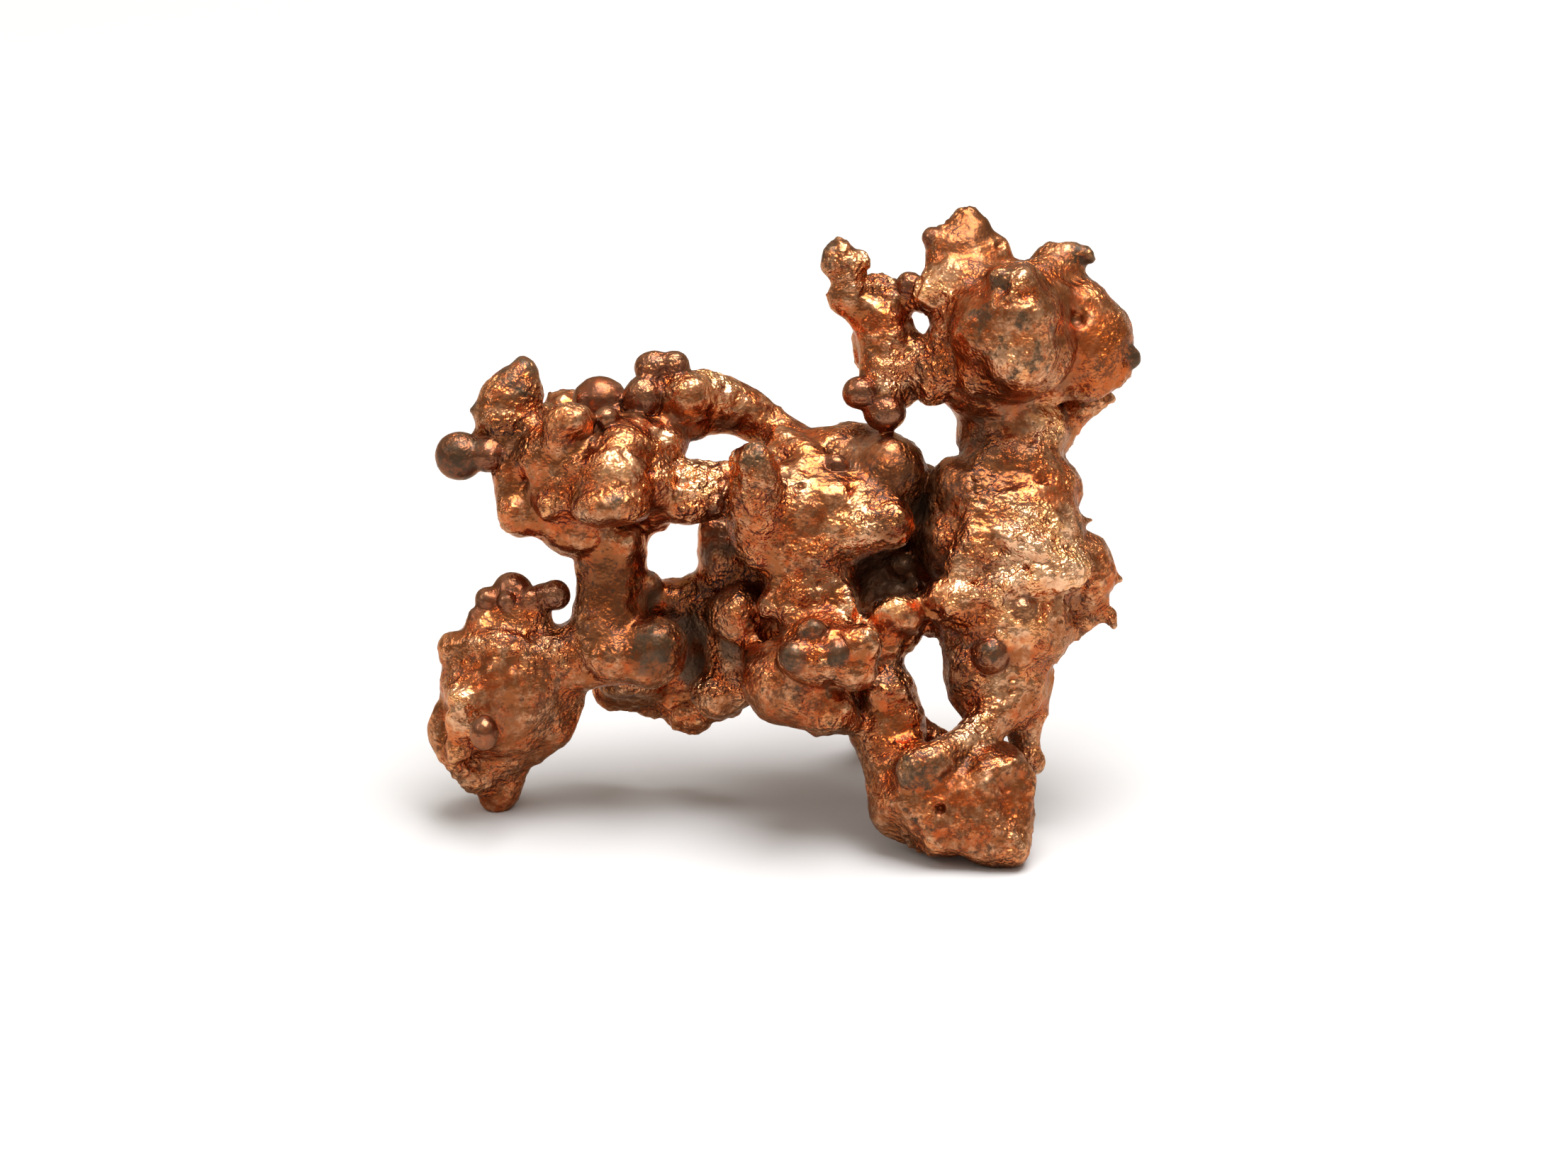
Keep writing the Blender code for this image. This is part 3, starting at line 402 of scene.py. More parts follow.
# %% Neck, head, crest and side branch
LUMPS += [
    (13.2, 24.4, -0.8, 3.2, 2.6, 2.6), (12, 26.4, 0, 2.7, 1.6, 2.4), (12, 28, 0.8, 2.6, 2.2, 2.4),
    (16.9, 29.9, -0.3, 2.75, 3.75, 2.7, 35), (17, 28.9, 0, 2.9, 2.7, 2.4, 12),
    (15.2, 29.6, 0.2, 2.4, 3.6, 2.4), (18.6, 30.2, -0.6, 1.35, 1.5, 1.6),
    (18.2, 27.8, -0.2, 1.55, 1.25, 1.6), (15.6, 33.35, -0.6, 1.5, 1.55, 1.7),
    (11.2, 30.2, 3.6, 1.6, 2.2, 2), (14.9, 31.3, 1.8, 1.6, 1.7, 1.8),
    (11.4, 28, 2.8, 1.4, 1.6, 1.8), (13.4, 29.4, 2.6, 3.2, 3.3, 2.7),
    (15.2, 32.8, -0.2, 1.7, 1.7, 1.8), (13.6, 32.4, 0.4, 1.9, 1.7, 2),
    (13.4, 31, 4.2, 2.3, 2.3, 2.6), (13.3, 28.8, 4, 2.3, 2.4, 2.6), (13.1, 29.8, 3, 2.7, 3.5, 3.4),
    (11.4, 30.6, 2, 1.9, 2.6, 2.2), (13.3, 32.8, 3.6, 1.6, 1.1, 2), (12.2, 33, 5.6, 0.6, 0.6, 0.6),
    (13.5, 32.8, 5.8, 0.8, 0.75, 0.8), (10.65, 36, 0.2, 1.05, 1.1, 1.1),
    (10.65, 35.3, 0.3, 1.45, 1.5, 1.3), (10.7, 34.4, 0.4, 1.9, 1.6, 1.5),
    (12, 34.5, 0.2, 1.1, 1.1, 1.3), (9.5, 34.4, 0.6, 1.3, 1.7, 1.3),
    (10.4, 32.9, 0.8, 2.3, 1.7, 2), (11.4, 33, 1.4, 1.3, 1, 1.5, 25), (8.5, 32.2, 1.4, 0.95, 1, 1),
    (10.2, 32.3, 2, 1, 0.9, 1), (10.2, 30, 0.8, 1.8, 2.6, 2.2), (9, 27.9, 0.8, 1.5, 1.6, 1.6),
    (8.6, 26.85, 1, 1.1, 1, 1.1), (3.3, 34.4, 0.8, 1, 1, 0.9), (2.8, 33.8, 0.7, 0.7, 0.8, 0.8),
    (4.25, 33.9, 0.9, 0.8, 0.8, 0.75), (3.6, 31.9, 0.6, 1, 0.95, 0.9),
    (5.6, 32.35, 0, 1.3, 1.1, 1.1), (6.9, 31.3, -0.1, 0.5, 0.7, 0.8),
    (8.2, 31.4, 0.6, 0.4, 0.2, 0.5, -30), (8.5, 29.9, 0.7, 0.25, 0.4, 0.5),
    (7.5, 29.95, 0.4, 0.25, 0.35, 0.5), (7.9, 31.9, 0.4, 0.9, 0.6, 0.8),
    (6.7, 31.6, 0.2, 0.8, 0.9, 0.9), (6.4, 30.2, 0.3, 1.15, 0.9, 1.1),
    (7.1, 29.2, 0.4, 1.3, 0.9, 1.2), (7.5, 28, 0.4, 1.4, 1.1, 1.2),
    (4.7, 29.4, -1.4, 0.65, 1.6, 0.9), (7.1, 26.5, 0.2, 0.6, 0.8, 0.5),
]
BEADS += [
    (19.8, 28.6, 0.2, 0.58, 0.62, 0.6), (8.6, 35.35, 0.8, 0.58, 0.58, 0.58),
    (7.3, 32.7, 0.8, 0.72, 0.75, 0.7), (4.5, 26.6, 1.4, 0.98, 0.9, 0.95),
    (5.9, 25.5, 1, 1.2, 1.05, 1.1),
]
BARS += [
    [
        (15.6, 34.5, -0.5, 0.75), (16.7, 34.6, -0.3, 0.62), (17.3, 34.45, -0.1, 0.5),
        (17.45, 34.25, -0.1, 0.38),
    ],
    [(9, 32, 2, 0.5), (10.6, 33.2, 1.9, 0.5), (12.4, 34.3, 0.9, 0.4)],
    [
        (3.5, 33.8, 0.7, 0.8), (3.8, 32.8, 0.6, 0.85), (4.3, 31.6, 0.4, 1), (5.5, 30.8, 0.2, 1.35),
        (6, 29.4, 0.2, 1.45), (5.9, 27.8, 0.4, 1.35), (5.8, 26.2, 0.7, 1.1),
    ],
    [(3.2, 31.9, 0.6, 0.4), (2.5, 32.1, 0.6, 0.15)],
]
print(counted())

# %% [markdown]
# ## The left column and foot
# The column comes down from the shoulder, and dark lobes fill the space beside it. The foot it
# ends in is a block with its own drops on top and a blade that reaches the ground.

# %% Left column and left foot
LUMPS += [
    (-7.2, 12.4, 0.2, 2, 1.7, 1.8), (-7.3, 11.4, 0, 1.9, 1.4, 1.7), (-9.6, 11.8, 0.2, 2, 1.6, 1.8),
    (-6.4, 14.9, -2.6, 2.6, 1.25, 1.8), (-7.8, 15.4, -1.6, 0.9, 1.1, 1.2),
    (-4, 16, -2.6, 1, 1.2, 1.4), (-3.1, 17.4, -2.2, 1.55, 2.6, 1.9),
    (-1.2, 16, -1.8, 1.8, 2.4, 1.6), (-0.6, 13.2, -0.6, 1.7, 1.8, 1.6),
    (-4, 14, -2, 1.2, 1.4, 1.4), (-2.4, 14.2, 0.2, 1.7, 1.8, 1.8),
    (-2.5, 12, -1.8, 1.85, 2.3, 1.6), (-5, 12.8, -4.2, 1.6, 1.8, 1.4),
    (-4.8, 10.8, -4.5, 1.3, 1.5, 1.3), (-3.6, 9.6, -1.6, 1.5, 1.5, 1.4),
    (-2.4, 9.9, -1.2, 1.2, 1.2, 1.3), (-8.9, 9.75, -6, 2, 1.1, 1.6), (-8.4, 10.3, -4, 2.1, 1, 1.9),
    (-7.4, 8.75, -6.2, 0.9, 0.65, 0.8), (-5.2, 8.6, -5.6, 1.55, 1.3, 1.6),
    (-3.4, 9.2, -4.8, 1.5, 1.2, 1.5), (-15.6, 11.8, -1, 3.2, 2, 2.2),
    (-15.6, 10.2, -0.5, 2.9, 3.2, 1.9), (-13.2, 10.4, -1, 1.9, 2.3, 1.7),
    (-11.2, 12.3, -0.8, 1.8, 1.5, 1.9), (-10, 12.8, -0.2, 2, 2.2, 1.8),
    (-18.35, 12.25, -1, 1.15, 0.95, 1.2), (-16.6, 13.4, -1.1, 1.4, 1, 1.3, 20),
    (-18, 10.4, -1.4, 1.15, 2.6, 1.8), (-15.8, 8.8, -1.8, 3.2, 2.9, 2.2),
    (-16.1, 5.2, -4.6, 1.5, 2.55, 1.7), (-17.5, 4.75, -2.6, 0.95, 0.75, 0.9),
    (-16.8, 4.7, -3, 0.9, 0.8, 1), (-17.6, 5.4, -3, 0.8, 1.2, 1),
    (-18.7, 6.2, -1.8, 0.7, 0.8, 0.9), (-15.9, 6.8, -3.2, 2.2, 2, 1.9),
    (-12.8, 8.6, -2, 1.7, 1.9, 1.2), (-19.1, 7.7, -2.2, 0.8, 1.6, 1.3),
    (-17.8, 9.4, 0.4, 0.95, 0.95, 0.9), (-18, 8, 0.2, 0.9, 0.9, 0.9),
    (-18.1, 6.6, -0.6, 0.85, 0.85, 0.85), (-18.1, 5.4, -1.8, 0.8, 0.8, 0.8),
    (-17.4, 5, -2.2, 0.65, 0.65, 0.7), (-17.5, 4.3, -3.2, 0.5, 0.5, 0.6),
    (-15, 14.1, -1.2, 1.8, 1.4, 1.5), (-13.9, 14, -1, 0.95, 1.3, 1.3),
]
BEADS += [
    (-16.6, 7.5, 2.6, 0.8, 1, 0.95), (-15.1, 15.6, -1, 1.08, 0.9, 1),
    (-16.5, 14.95, -0.9, 0.72, 0.72, 0.75), (-17.2, 14.05, -0.7, 0.42, 0.42, 0.45),
    (-15.4, 14.9, 0, 0.5, 0.5, 0.5), (-14.1, 15, -0.2, 0.7, 0.65, 0.6),
    (-13.4, 15.3, -0.5, 0.65, 0.55, 0.6), (-12.66, 15.2, -0.4, 0.82, 0.84, 0.82),
]
BARS += [
    [
        (-9.5, 18, 0, 1.9), (-9.5, 16.8, -0.4, 1.9), (-9.6, 15, -0.6, 1.96),
        (-9.6, 13.2, -0.6, 2.05), (-9.6, 12.2, -0.6, 2),
    ],
    [(-6.4, 13.6, -3.4, 1.6), (-6.4, 11.2, -4.8, 1.6), (-6.2, 9.8, -5.4, 1.4)],
    [(-13, 11.6, -1, 1.8), (-11.2, 11.6, -0.8, 1.8), (-9.6, 12, -0.4, 1.8)],
    [(-17.8, 12.2, -1, 1), (-19, 12.6, -1, 0.3)],
    [
        (-12.3, 10.2, -1.6, 1.15), (-12.05, 8.55, -2, 0.95), (-13, 7.1, -2.6, 0.85),
        (-14.5, 5.8, -3.4, 0.7), (-15.4, 4.8, -4.2, 0.8),
    ],
    [(-16.6, 7.4, -0.2, 0.7), (-16.6, 7.4, 2.4, 0.6)],
]
print(counted())

# %% [markdown]
# ## The back
# A nugget has no plain side, so the same kinds of lobes and drops go on round the back, and a
# third leg there lets it stand.

# %% The back
LUMPS += [
    (-10.6, 22.2, -2.8, 3.2, 2.9, 2.6), (-12.8, 21, -4.2, 1.7, 1.5, 1.5),
    (-9, 23.2, -4.6, 1.6, 1.4, 1.5), (-10.8, 20, -3.6, 1.5, 1.3, 1.4),
    (-11.2, 22.8, -5.4, 1.2, 1, 1), (-13.6, 22.6, -3, 1.2, 1.4, 1.3),
    (-8.2, 21.2, -3.2, 1.3, 1.5, 1.3), (6.6, 16.8, -4, 2.6, 2.2, 2.2),
    (3.2, 16.8, -4.5, 3.6, 3.4, 2.8), (0.6, 18.6, -4.6, 2, 1.8, 1.8),
    (1.6, 20.2, -6.4, 1.9, 1.5, 1.7), (0.8, 21.4, -8.2, 1.5, 1.3, 1.4),
    (5.2, 14.6, -6, 1.8, 1.6, 1.7), (5.4, 21.8, -5, 2.2, 2.2, 1.8), (3.4, 23, -5, 1.2, 1.2, 1.2),
    (6.6, 20.4, -5.6, 1.3, 1.3, 1.3), (4.2, 19.4, -6.4, 1.4, 1.2, 1.3),
    (4.8, 12.6, -7.2, 1.7, 1.5, 1.6), (5.3, 10.9, -9.2, 1.35, 1.4, 1.5),
    (5.2, 9.3, -11, 1.25, 1.2, 1.3), (6, 7.15, -12.8, 1.5, 1.35, 1.5),
    (13.6, 16.6, -4, 3.2, 3.4, 2.6), (15.6, 18, -3.6, 1.6, 1.8, 1.6),
    (11.6, 18.6, -4.4, 1.7, 1.6, 1.6), (12.2, 15, -5.6, 1.8, 1.6, 1.7),
    (14.6, 14.4, -5.2, 1.5, 1.4, 1.5), (13.2, 13.6, -7, 1.5, 1.3, 1.5),
    (15.9, 16.2, -4.8, 1, 1, 1), (14.4, 19.8, -3.6, 1.2, 1.1, 1.2),
    (11.4, 12.4, -3.2, 1.4, 1.5, 1.5), (12.8, 10.4, -2.2, 1.5, 1.4, 1.3),
    (13.4, 24.6, -3.2, 1.8, 1.6, 1.4), (12, 22.8, -3.6, 1.4, 1.4, 1.3),
    (13, 30, -2.4, 2.8, 2.8, 2), (11.4, 31.4, -3.6, 1.3, 1.2, 1.3),
    (14.6, 28.6, -3.8, 1.4, 1.3, 1.3), (16.2, 31.2, -3.2, 1.4, 1.5, 1.2),
    (12.6, 28, -3.2, 1.2, 1.1, 1.1), (15, 33.2, -2.2, 1, 0.9, 0.9), (5.4, 28.6, -1.2, 1, 1.2, 1),
    (5.8, 31, -1, 0.9, 0.8, 0.8), (-16, 9.6, -3.8, 2.4, 2.6, 1.6),
    (-14.4, 11, -3.8, 1.3, 1.3, 1.2), (-17.2, 8, -4.6, 1.2, 1.3, 1.2),
    (-9.4, 14.6, -2.6, 1.5, 1.7, 1.4), (-8.6, 12, -3.2, 1.7, 1.4, 1.5),
]
BEADS += [
    (-12.4, 19.8, -5.2, 0.75, 0.75, 0.75), (-3.2, 25.2, -3.9, 0.9, 0.8, 0.9),
    (-0.8, 24.4, -4, 0.8, 0.8, 0.8), (-0.5, 22, -9.2, 0.9, 0.85, 0.9),
    (1.9, 22.1, -8.9, 0.8, 0.8, 0.8), (4.6, 10.6, -10.4, 0.7, 0.7, 0.7),
    (5.2, 7.7, -14, 0.7, 0.7, 0.7), (12.8, 13, -8.6, 0.95, 0.9, 0.95),
    (17.4, 29.4, -3.2, 0.7, 0.7, 0.7), (-17.6, 11.2, -3.4, 1, 1, 1),
    (-15.4, 8.8, -5.6, 0.8, 0.8, 0.8),
]
BARS += [
    [(4.4, 14, -4.4, 2), (4.8, 12, -7.4, 1.3), (5.2, 9.6, -10.4, 1.1), (5.8, 7.6, -12.6, 1.1)],
    [(2, 18, -5.6, 1.7), (1.4, 20.2, -7.2, 1.3), (0.6, 21.4, -8.4, 1.1)],
]
print(counted())

# %% [markdown]
# ## One skin over all the forms
# The nugget is one crystal-grown solid, so the forms have to become one skin. Joining hundreds of
# overlapping balls with exact cuts would be slow and fragile. Voxels are simpler: a Remesh modifier
# fills everything with small cubes and wraps one even skin around them.

# %% Fuse
VOXEL = 0.13 * MM


def triangle_mesh(name, points, triangles):
    """A mesh from an array of points and an array of triangles."""
    mesh = bpy.data.meshes.new(name)
    mesh.vertices.add(len(points))
    mesh.vertices.foreach_set("co", points.astype(np.float32).ravel())
    mesh.loops.add(triangles.size)
    mesh.loops.foreach_set("vertex_index", triangles.astype(np.int32).ravel())
    mesh.polygons.add(len(triangles))
    mesh.polygons.foreach_set("loop_start", np.arange(0, triangles.size, 3, dtype=np.int32))
    mesh.update(calc_edges=True)
    mesh.validate()
    return mesh


def all_forms():
    """Every lump, bead and bar in one set of points and triangles."""
    parts = [lump_surfaces(LUMPS + BEADS)] + [bar_surface(knots) for knots in BARS]
    starts = np.cumsum([0] + [len(points) for points, _ in parts])
    triangles = [faces + start for (_, faces), start in zip(parts, starts)]
    return np.vstack([points for points, _ in parts]), np.vstack(triangles)


def applied(nugget):
    """The object's mesh with its modifiers made real."""
    bpy.context.view_layer.update()
    evaluated = nugget.evaluated_get(bpy.context.evaluated_depsgraph_get())
    mesh = bpy.data.meshes.new_from_object(evaluated)
    nugget.modifiers.clear()
    nugget.data = mesh
    return mesh


nugget = bpy.data.objects.new("nugget", triangle_mesh("nugget", *all_forms()))
bpy.context.scene.collection.objects.link(nugget)
fuse = nugget.modifiers.new("fuse", "REMESH")
fuse.mode = "VOXEL"
fuse.voxel_size = VOXEL
mesh = applied(nugget)
print("fused skin:", len(mesh.vertices), "points")

# %% [markdown]
# ## Noise to grow a surface with
# Copper that has grown in a crack is hackly: swells, folds, grains and pits at every size. Each of
# them is a function of the place in space, so it needs no seams. It starts from one number per
# corner of a lattice, blended smoothly in between.

# %% Lattice noise
# A turn of the lattice away from the axes, so that its cubes don't show on flat faces.
TWIST = np.array(((0.36, 0.48, -0.80), (-0.80, 0.60, 0.0), (0.48, 0.64, 0.60)))
APART = 7.3  # how far one seed's lattice lies from the next one's


def corner_numbers(corners, seed):
    """A number from 0 to 1 for each lattice corner. The corner's three whole numbers are multiplied
    by large odd numbers and their bits are shifted over each other, so neighbours don't agree."""
    x, y, z = np.moveaxis(corners.astype(np.int64), -1, 0)
    mixed = (x * 73856093 ^ y * 19349663 ^ z * 83492791 ^ seed * 97531) & 0xFFFFFFFF
    mixed = ((mixed ^ (mixed >> 15)) * 1274126177) & 0xFFFFFFFF
    mixed = ((mixed ^ (mixed >> 13)) * 1103515245) & 0xFFFFFFFF
    return (mixed ^ (mixed >> 16)) / 0xFFFFFFFF


def swells(places, size, seed):
    """Swells and hollows from -1 to 1, about `size` across. A point's value is the mean of its
    cube's eight corner numbers, each weighted by its nearness on a curve level at both ends."""
    place = places @ TWIST / size + seed * APART
    cube = np.floor(place)
    near = place - cube
    near = near * near * (3 - 2 * near)
    total = 0
    for corner in np.ndindex(2, 2, 2):
        share = np.prod(np.where(corner, near, 1 - near), axis=-1)
        total = total + share * corner_numbers(cube + corner, seed)
    return 2 * total - 1


probe = np.linspace(0, 20, 400)[:, None] * (1, 0.3, 0.7)
print("highest and lowest swell:", np.percentile(swells(probe, 1, 5), (100, 0)).round(2))

# %% [markdown]
# ## From swells to folds and grains
# Foil-like folds have sharp crests. Swells get them where they cross 0, if their distance from 0
# is taken away from 1. Grains need cells instead: one small drop for each cube of a lattice.

# %% Folds and grains
def layered(places, size, layers, seed):
    """Swells with smaller swells on them: each layer has half the size and half the height."""
    sizes = [size / 2**i for i in range(layers)]
    total = sum(s / size * swells(places, s, seed + i) for i, s in enumerate(sizes))
    return total / sum(s / size for s in sizes)


def folds(places, size, layers, seed):
    """Sharp crests from 0 to 1: one minus 2.2 times the distance of the layered swells from 0."""
    return 1 - np.minimum(np.abs(layered(places, size, layers, seed)) * 2.2, 1)


def grains(places, size, seed):
    """How far a point is from the nearest grain, as a share of `size`, and that grain's number.
    Each lattice cube holds one grain, a tenth or more inside it, and the 27 nearest are tried."""
    place = places / size
    cube = np.floor(place)
    nearest = np.full(len(places), np.inf)
    number = np.zeros(len(places))
    for step in np.ndindex(3, 3, 3):
        corner = cube + step - 1
        spot = np.stack([corner_numbers(corner, seed + i) for i in range(3)], axis=-1)
        apart = np.linalg.norm(corner + 0.1 + 0.8 * spot - place, axis=-1)
        closer = apart < nearest
        nearest = np.where(closer, apart, nearest)
        number = np.where(closer, corner_numbers(corner, seed + 3), number)
    return nearest, number


def ramp(values, low, high):
    """0 up to low, 1 from high, and a smooth step between."""
    t = np.clip((values - low) / (high - low), 0, 1)
    return t * t * (3 - 2 * t)


print("folds reach", folds(probe, 1, 2, 5).max().round(2))

# %% [markdown]
# ## Soft spots
# Much on a nugget belongs to one place: a brown tip, a smooth drop, a bright ledge. It could be
# painted by hand, but a soft spot is easier to move. It is a centre on the board, a radius, and a
# strength that holds near the centre and fades to 0 at the radius.

# %% Soft spots
def spots(places, rows):
    """The strongest of the soft spots at each place. A spot is full up to 0.45 of its radius."""
    strongest = np.zeros(len(places))
    for across, up, out, radius, strength in rows:
        apart = np.linalg.norm(places - (across, up, out), axis=-1)
        strongest = np.maximum(strongest, strength * (1 - ramp(apart, 0.45 * radius, radius)))
    return strongest


steps = np.linspace(0, 1, 5)[:, None] * (1, 0, 0)
print("one spot from its middle to its rim:", spots(steps, [(0, 0, 0, 1, 1)]).round(2))

# %% [markdown]
# ## Tarnish, and dusk with painted shade
# Tips and the faces of the drops have gone olive brown. Necks, flanks and the ends of some forms
# keep a dull red-brown film, and the same dusk is painted shade on shaded spots, such as the crest
# under its cap and the block under the left column. Both change the finish and leave the shape
# alone. A row is across, up, out, radius and strength, here and in the next cell.

# %% Tarnish, and dusk with painted shade
TARNISH = [
    (-1.4, 23.1, 5.6, 1.3, 0.9), (12.3, 33, 5.8, 1.2, 0.9), (11.2, 30.6, 5.6, 1.2, 0.7),
    (20, 28.8, 0.2, 1.2, 1), (17.2, 34.5, 0, 1.3, 0.9), (7.7, 5.4, 6.2, 2, 0.75),
    (1.6, 13.5, 7.2, 1.2, 0.8), (0.6, 11.8, 7.6, 1.2, 0.85), (3.2, 11.9, 7.7, 1.1, 0.8),
    (-14.8, 27.6, 1, 1.9, 0.8), (-17.2, 25.9, 0.4, 0.9, 0.8), (3.2, 34.4, 0.8, 1.5, 0.8),
    (11.9, 12.2, 4.8, 1.2, 1), (-9.3, 20.6, 6.6, 1.6, 0.6), (-18, 23, 1.4, 2, 0.7),
    (7.6, 2.6, 5.4, 0.35, 0.9), (8.4, 2.1, 5.5, 0.4, 0.9), (9.4, 1.8, 5.8, 0.4, 0.8),
    (8, 3.5, 5.8, 0.35, 0.8), (7, 3.3, 5.1, 0.35, 0.8), (9, 2.8, 6, 0.3, 0.8),
    (13.6, 30.4, 6.8, 0.9, 0.7), (14.5, 28.9, 6.5, 0.8, 0.7), (12.4, 29.2, 6.6, 0.7, 0.6),
    (15, 27.8, 6, 1, 0.75), (13, 27.5, 6.3, 0.8, 0.65), (11.6, 28.6, 5.8, 0.7, 0.6),
    (15.4, 30, 5.6, 0.7, 0.6), (11.4, 31, 5.9, 0.9, 0.7), (14.4, 28, 6.2, 1, 0.7),
    # The last row is painted shade on the block under the left column.
    (12.2, 32.2, 6.5, 0.7, 0.8), (-7.2, 12.4, 2, 1.9, 0.85),
]
# Dusk: a dull red-brown film, and painted shade on shaded spots such as the crest and the block.
DUSKY_AND_SHADED = [
    (-9.6, 16, 1.2, 2.6, 0.9), (-9.6, 13.4, 1.4, 2.6, 0.8), (-7, 12, 2, 2.3, 1),
    (-5, 14.6, -1, 2.2, 1), (-2.4, 15.4, 0.4, 2.2, 0.7), (7, 21.6, 1.2, 3.4, 1.1),
    (9.2, 21.4, 1.6, 2.4, 0.8), (8.4, 16.8, 0, 2.6, 0.8), (-10.2, 26, 0.2, 1.7, 0.8),
    (-7.8, 25, 0.8, 1.6, 0.7), (-15.6, 24, 1.6, 1.8, 0.6), (-16.4, 23, 1.4, 1.5, 0.6),
    (11.4, 24.6, 1.6, 1.8, 0.7), (6.4, 19, 4.2, 1.6, 0.6), (11, 35.4, 1.4, 1, 0.9),
    (12.8, 6, 3.8, 2.2, 0.6), (-7, 12.6, 2, 2.6, 1), (5.8, 16.4, 0.6, 1.6, 0.6),
    (-15, 23.4, 1.6, 1.8, 0.7), (9.6, 10.6, 3, 1.6, 0.7), (11, 28.6, 2.4, 1.6, 0.5),
    (-14.4, 26.8, 1.4, 1.5, 0.5), (5.8, 11.2, 3, 1.8, 0.5), (2.7, 22.1, 3, 1.3, 1),
    (0.3, 23.2, 2, 0.9, 0.8), (4.6, 22.8, 2.4, 1.3, 0.8), (-18.2, 22.4, 1.6, 1.8, 0.9),
    (-8.6, 9.6, -4.5, 2.4, 0.9), (11, 5.8, 5, 1.4, 0.6), (0.9, 22.1, 3.6, 1.1, 0.7),
    (10.5, 35.6, 1.2, 1.4, 0.8), (11, 36.2, 1.3, 1.9, 1), (9.8, 35, 1.8, 1.4, 0.6),
    (11.4, 33.8, 2.8, 1.4, 0.6), (10.6, 21.8, 2.6, 2.4, 0.8), (12.8, 22.6, 2.4, 2, 0.6),
]
print(len(TARNISH), "spots of tarnish and", len(DUSKY_AND_SHADED), "of dusk")

# %% [markdown]
# ## Embers, bright ledges, painted shade in slots and quiet skin
# An orange tint stays on the head and the foot. Ledges and the tops of lobes are more crumpled,
# and their colour is lightened as a painted highlight. Deep slots and shaded spots get painted
# shade: a dark, dull colour. Quiet skin has low relief.

# %% Embers, ledges, painted shade in slots and quiet skin
EMBERS = [
    (18.2, 28.6, 1.4, 3.2, 1), (14.6, 32.6, 2, 2, 0.9), (9.6, 4.4, 5.8, 1.6, 0.5),
    (13.4, 3.4, 5, 1.8, 0.5), (11, 13.6, 4, 2, 0.7), (7, 7, 3.2, 2.2, 0.7),
    (1.4, 13.6, 4.4, 1.6, 0.8), (-9.4, 14.6, 1.4, 2.6, 0.5), (9.6, 28.2, 2.6, 2.2, 0.6),
    (6.4, 28.2, 1.6, 1.8, 0.6),
]
# Bright ledges get more crumpled relief, and the copper paints their colour lighter: a painted
# highlight.
BRIGHT = [
    (15, 25.2, 1, 2, 0.8), (0.8, 21.8, 3.6, 1.6, 0.5), (6, 14.8, 4.2, 1.4, 0.9),
    (13.6, 28.6, 6.4, 3, 0.5), (4, 19.2, 4.2, 2, 0.5), (-4.8, 22, 2, 2.2, 1),
    (-8.8, 22.3, 4.8, 1.9, 0.6), (-6.6, 23.6, 1.8, 1.6, 0.8), (15, 17.2, 3.4, 4, 1),
    (4, 14.2, 3.2, 1.3, 0.9), (-17.8, 8.8, 1, 1.9, 0.5), (-3.6, 26.8, -0.6, 2.6, 0.8),
    (13, 14, 3.5, 2.4, 0.8), (12.6, 10.6, 2.6, 2.2, 0.6), (9, 32.8, 2.2, 1.8, 0.8),
    (6.6, 28, 1.6, 1.6, 0.8), (10, 15.6, 4, 1.6, 0.8), (11, 7.4, 4, 1.8, 0.6),
]
# Painted shade: slots and overhung places that the copper paints dark, dull and less metallic.
SHADED_SPOTS = [
    (-4.8, 13, -1.6, 1.5, 1.2), (-4.7, 10.8, -2.8, 1.4, 1.1), (-7, 11.2, 1.6, 1.9, 0.9),
    (-6.6, 12.8, 1.8, 2.4, 0.7), (-7.4, 15.4, -0.4, 1.4, 0.8), (-2.8, 12.2, 0, 1, 0.9),
    (-3.6, 17.6, -0.8, 1.7, 0.8), (6, 16.2, -1, 2.4, 1), (8.3, 20, 0, 1.4, 1.2),
    (-6, 24.6, 0.4, 1.6, 0.6),
]
QUIET = [
    (10.4, 3.2, 5.6, 4.4, 0.7), (13.2, 4, 4.6, 3, 0.7), (6.2, 22.2, 2.2, 2.4, 0.9),
    (6.8, 13.9, 3.8, 1.8, 0.7), (9.6, 21.4, 2.4, 1.8, 0.8), (16.2, 34.2, 0.8, 2, 1),
    (9.4, 6.6, 4.6, 2.4, 0.5), (-14.4, 9.2, 1, 3.2, 0.7), (-11.8, 24.6, 5, 1.8, 0.6),
    (-9.5, 15, 1.4, 3.2, 0.4), (-7.4, 12, 2.4, 2.6, 0.4), (17, 30.2, 1.5, 3.6, 0.4),
    (13.2, 29, 7, 3.4, 0.7), (10.8, 34.6, 1.4, 2.6, 0.6), (13.2, 24.6, 1.6, 3.4, 0.2),
    (0.8, 9.6, 4.8, 3.2, 0.6), (-9.3, 21.1, 6, 2.2, 0.6),
]
print(len(EMBERS), "embers,", len(BRIGHT), "bright ledges,", len(SHADED_SPOTS), "deep slots")
print(len(QUIET), "quiet places")

# %% [markdown]
# ## Flats and dents
# Where copper grew against the wall of its crack it has flat faces. Where a crystal of another
# mineral sat in it there is a pit. Both are pressed into the skin instead of cut, so the mesh
# stays one even sheet.

# %% Flats and dents
# A flat is across, up, out, the direction that it faces (across, up, out), and its reach.
FLATS = [
    (-12.5, 8.6, -0.5, 0.75, -0.35, 0.55, 2.4), (-14.4, 8.3, 0.5, 0.15, -0.25, 0.95, 2.6),
    (-17.3, 11.4, 0.5, -0.5, 0.1, 0.85, 2.2), (-14.4, 11.2, 1, 0.1, 0.1, 1, 2.2),
    (9.4, 3.2, 5.7, -0.12, -0.12, 1, 3.2), (13.2, 3.8, 4.9, 0.45, 0.1, 0.9, 2.4),
    (7.2, 2.2, 4.2, -0.6, -0.6, 0.5, 2),
]
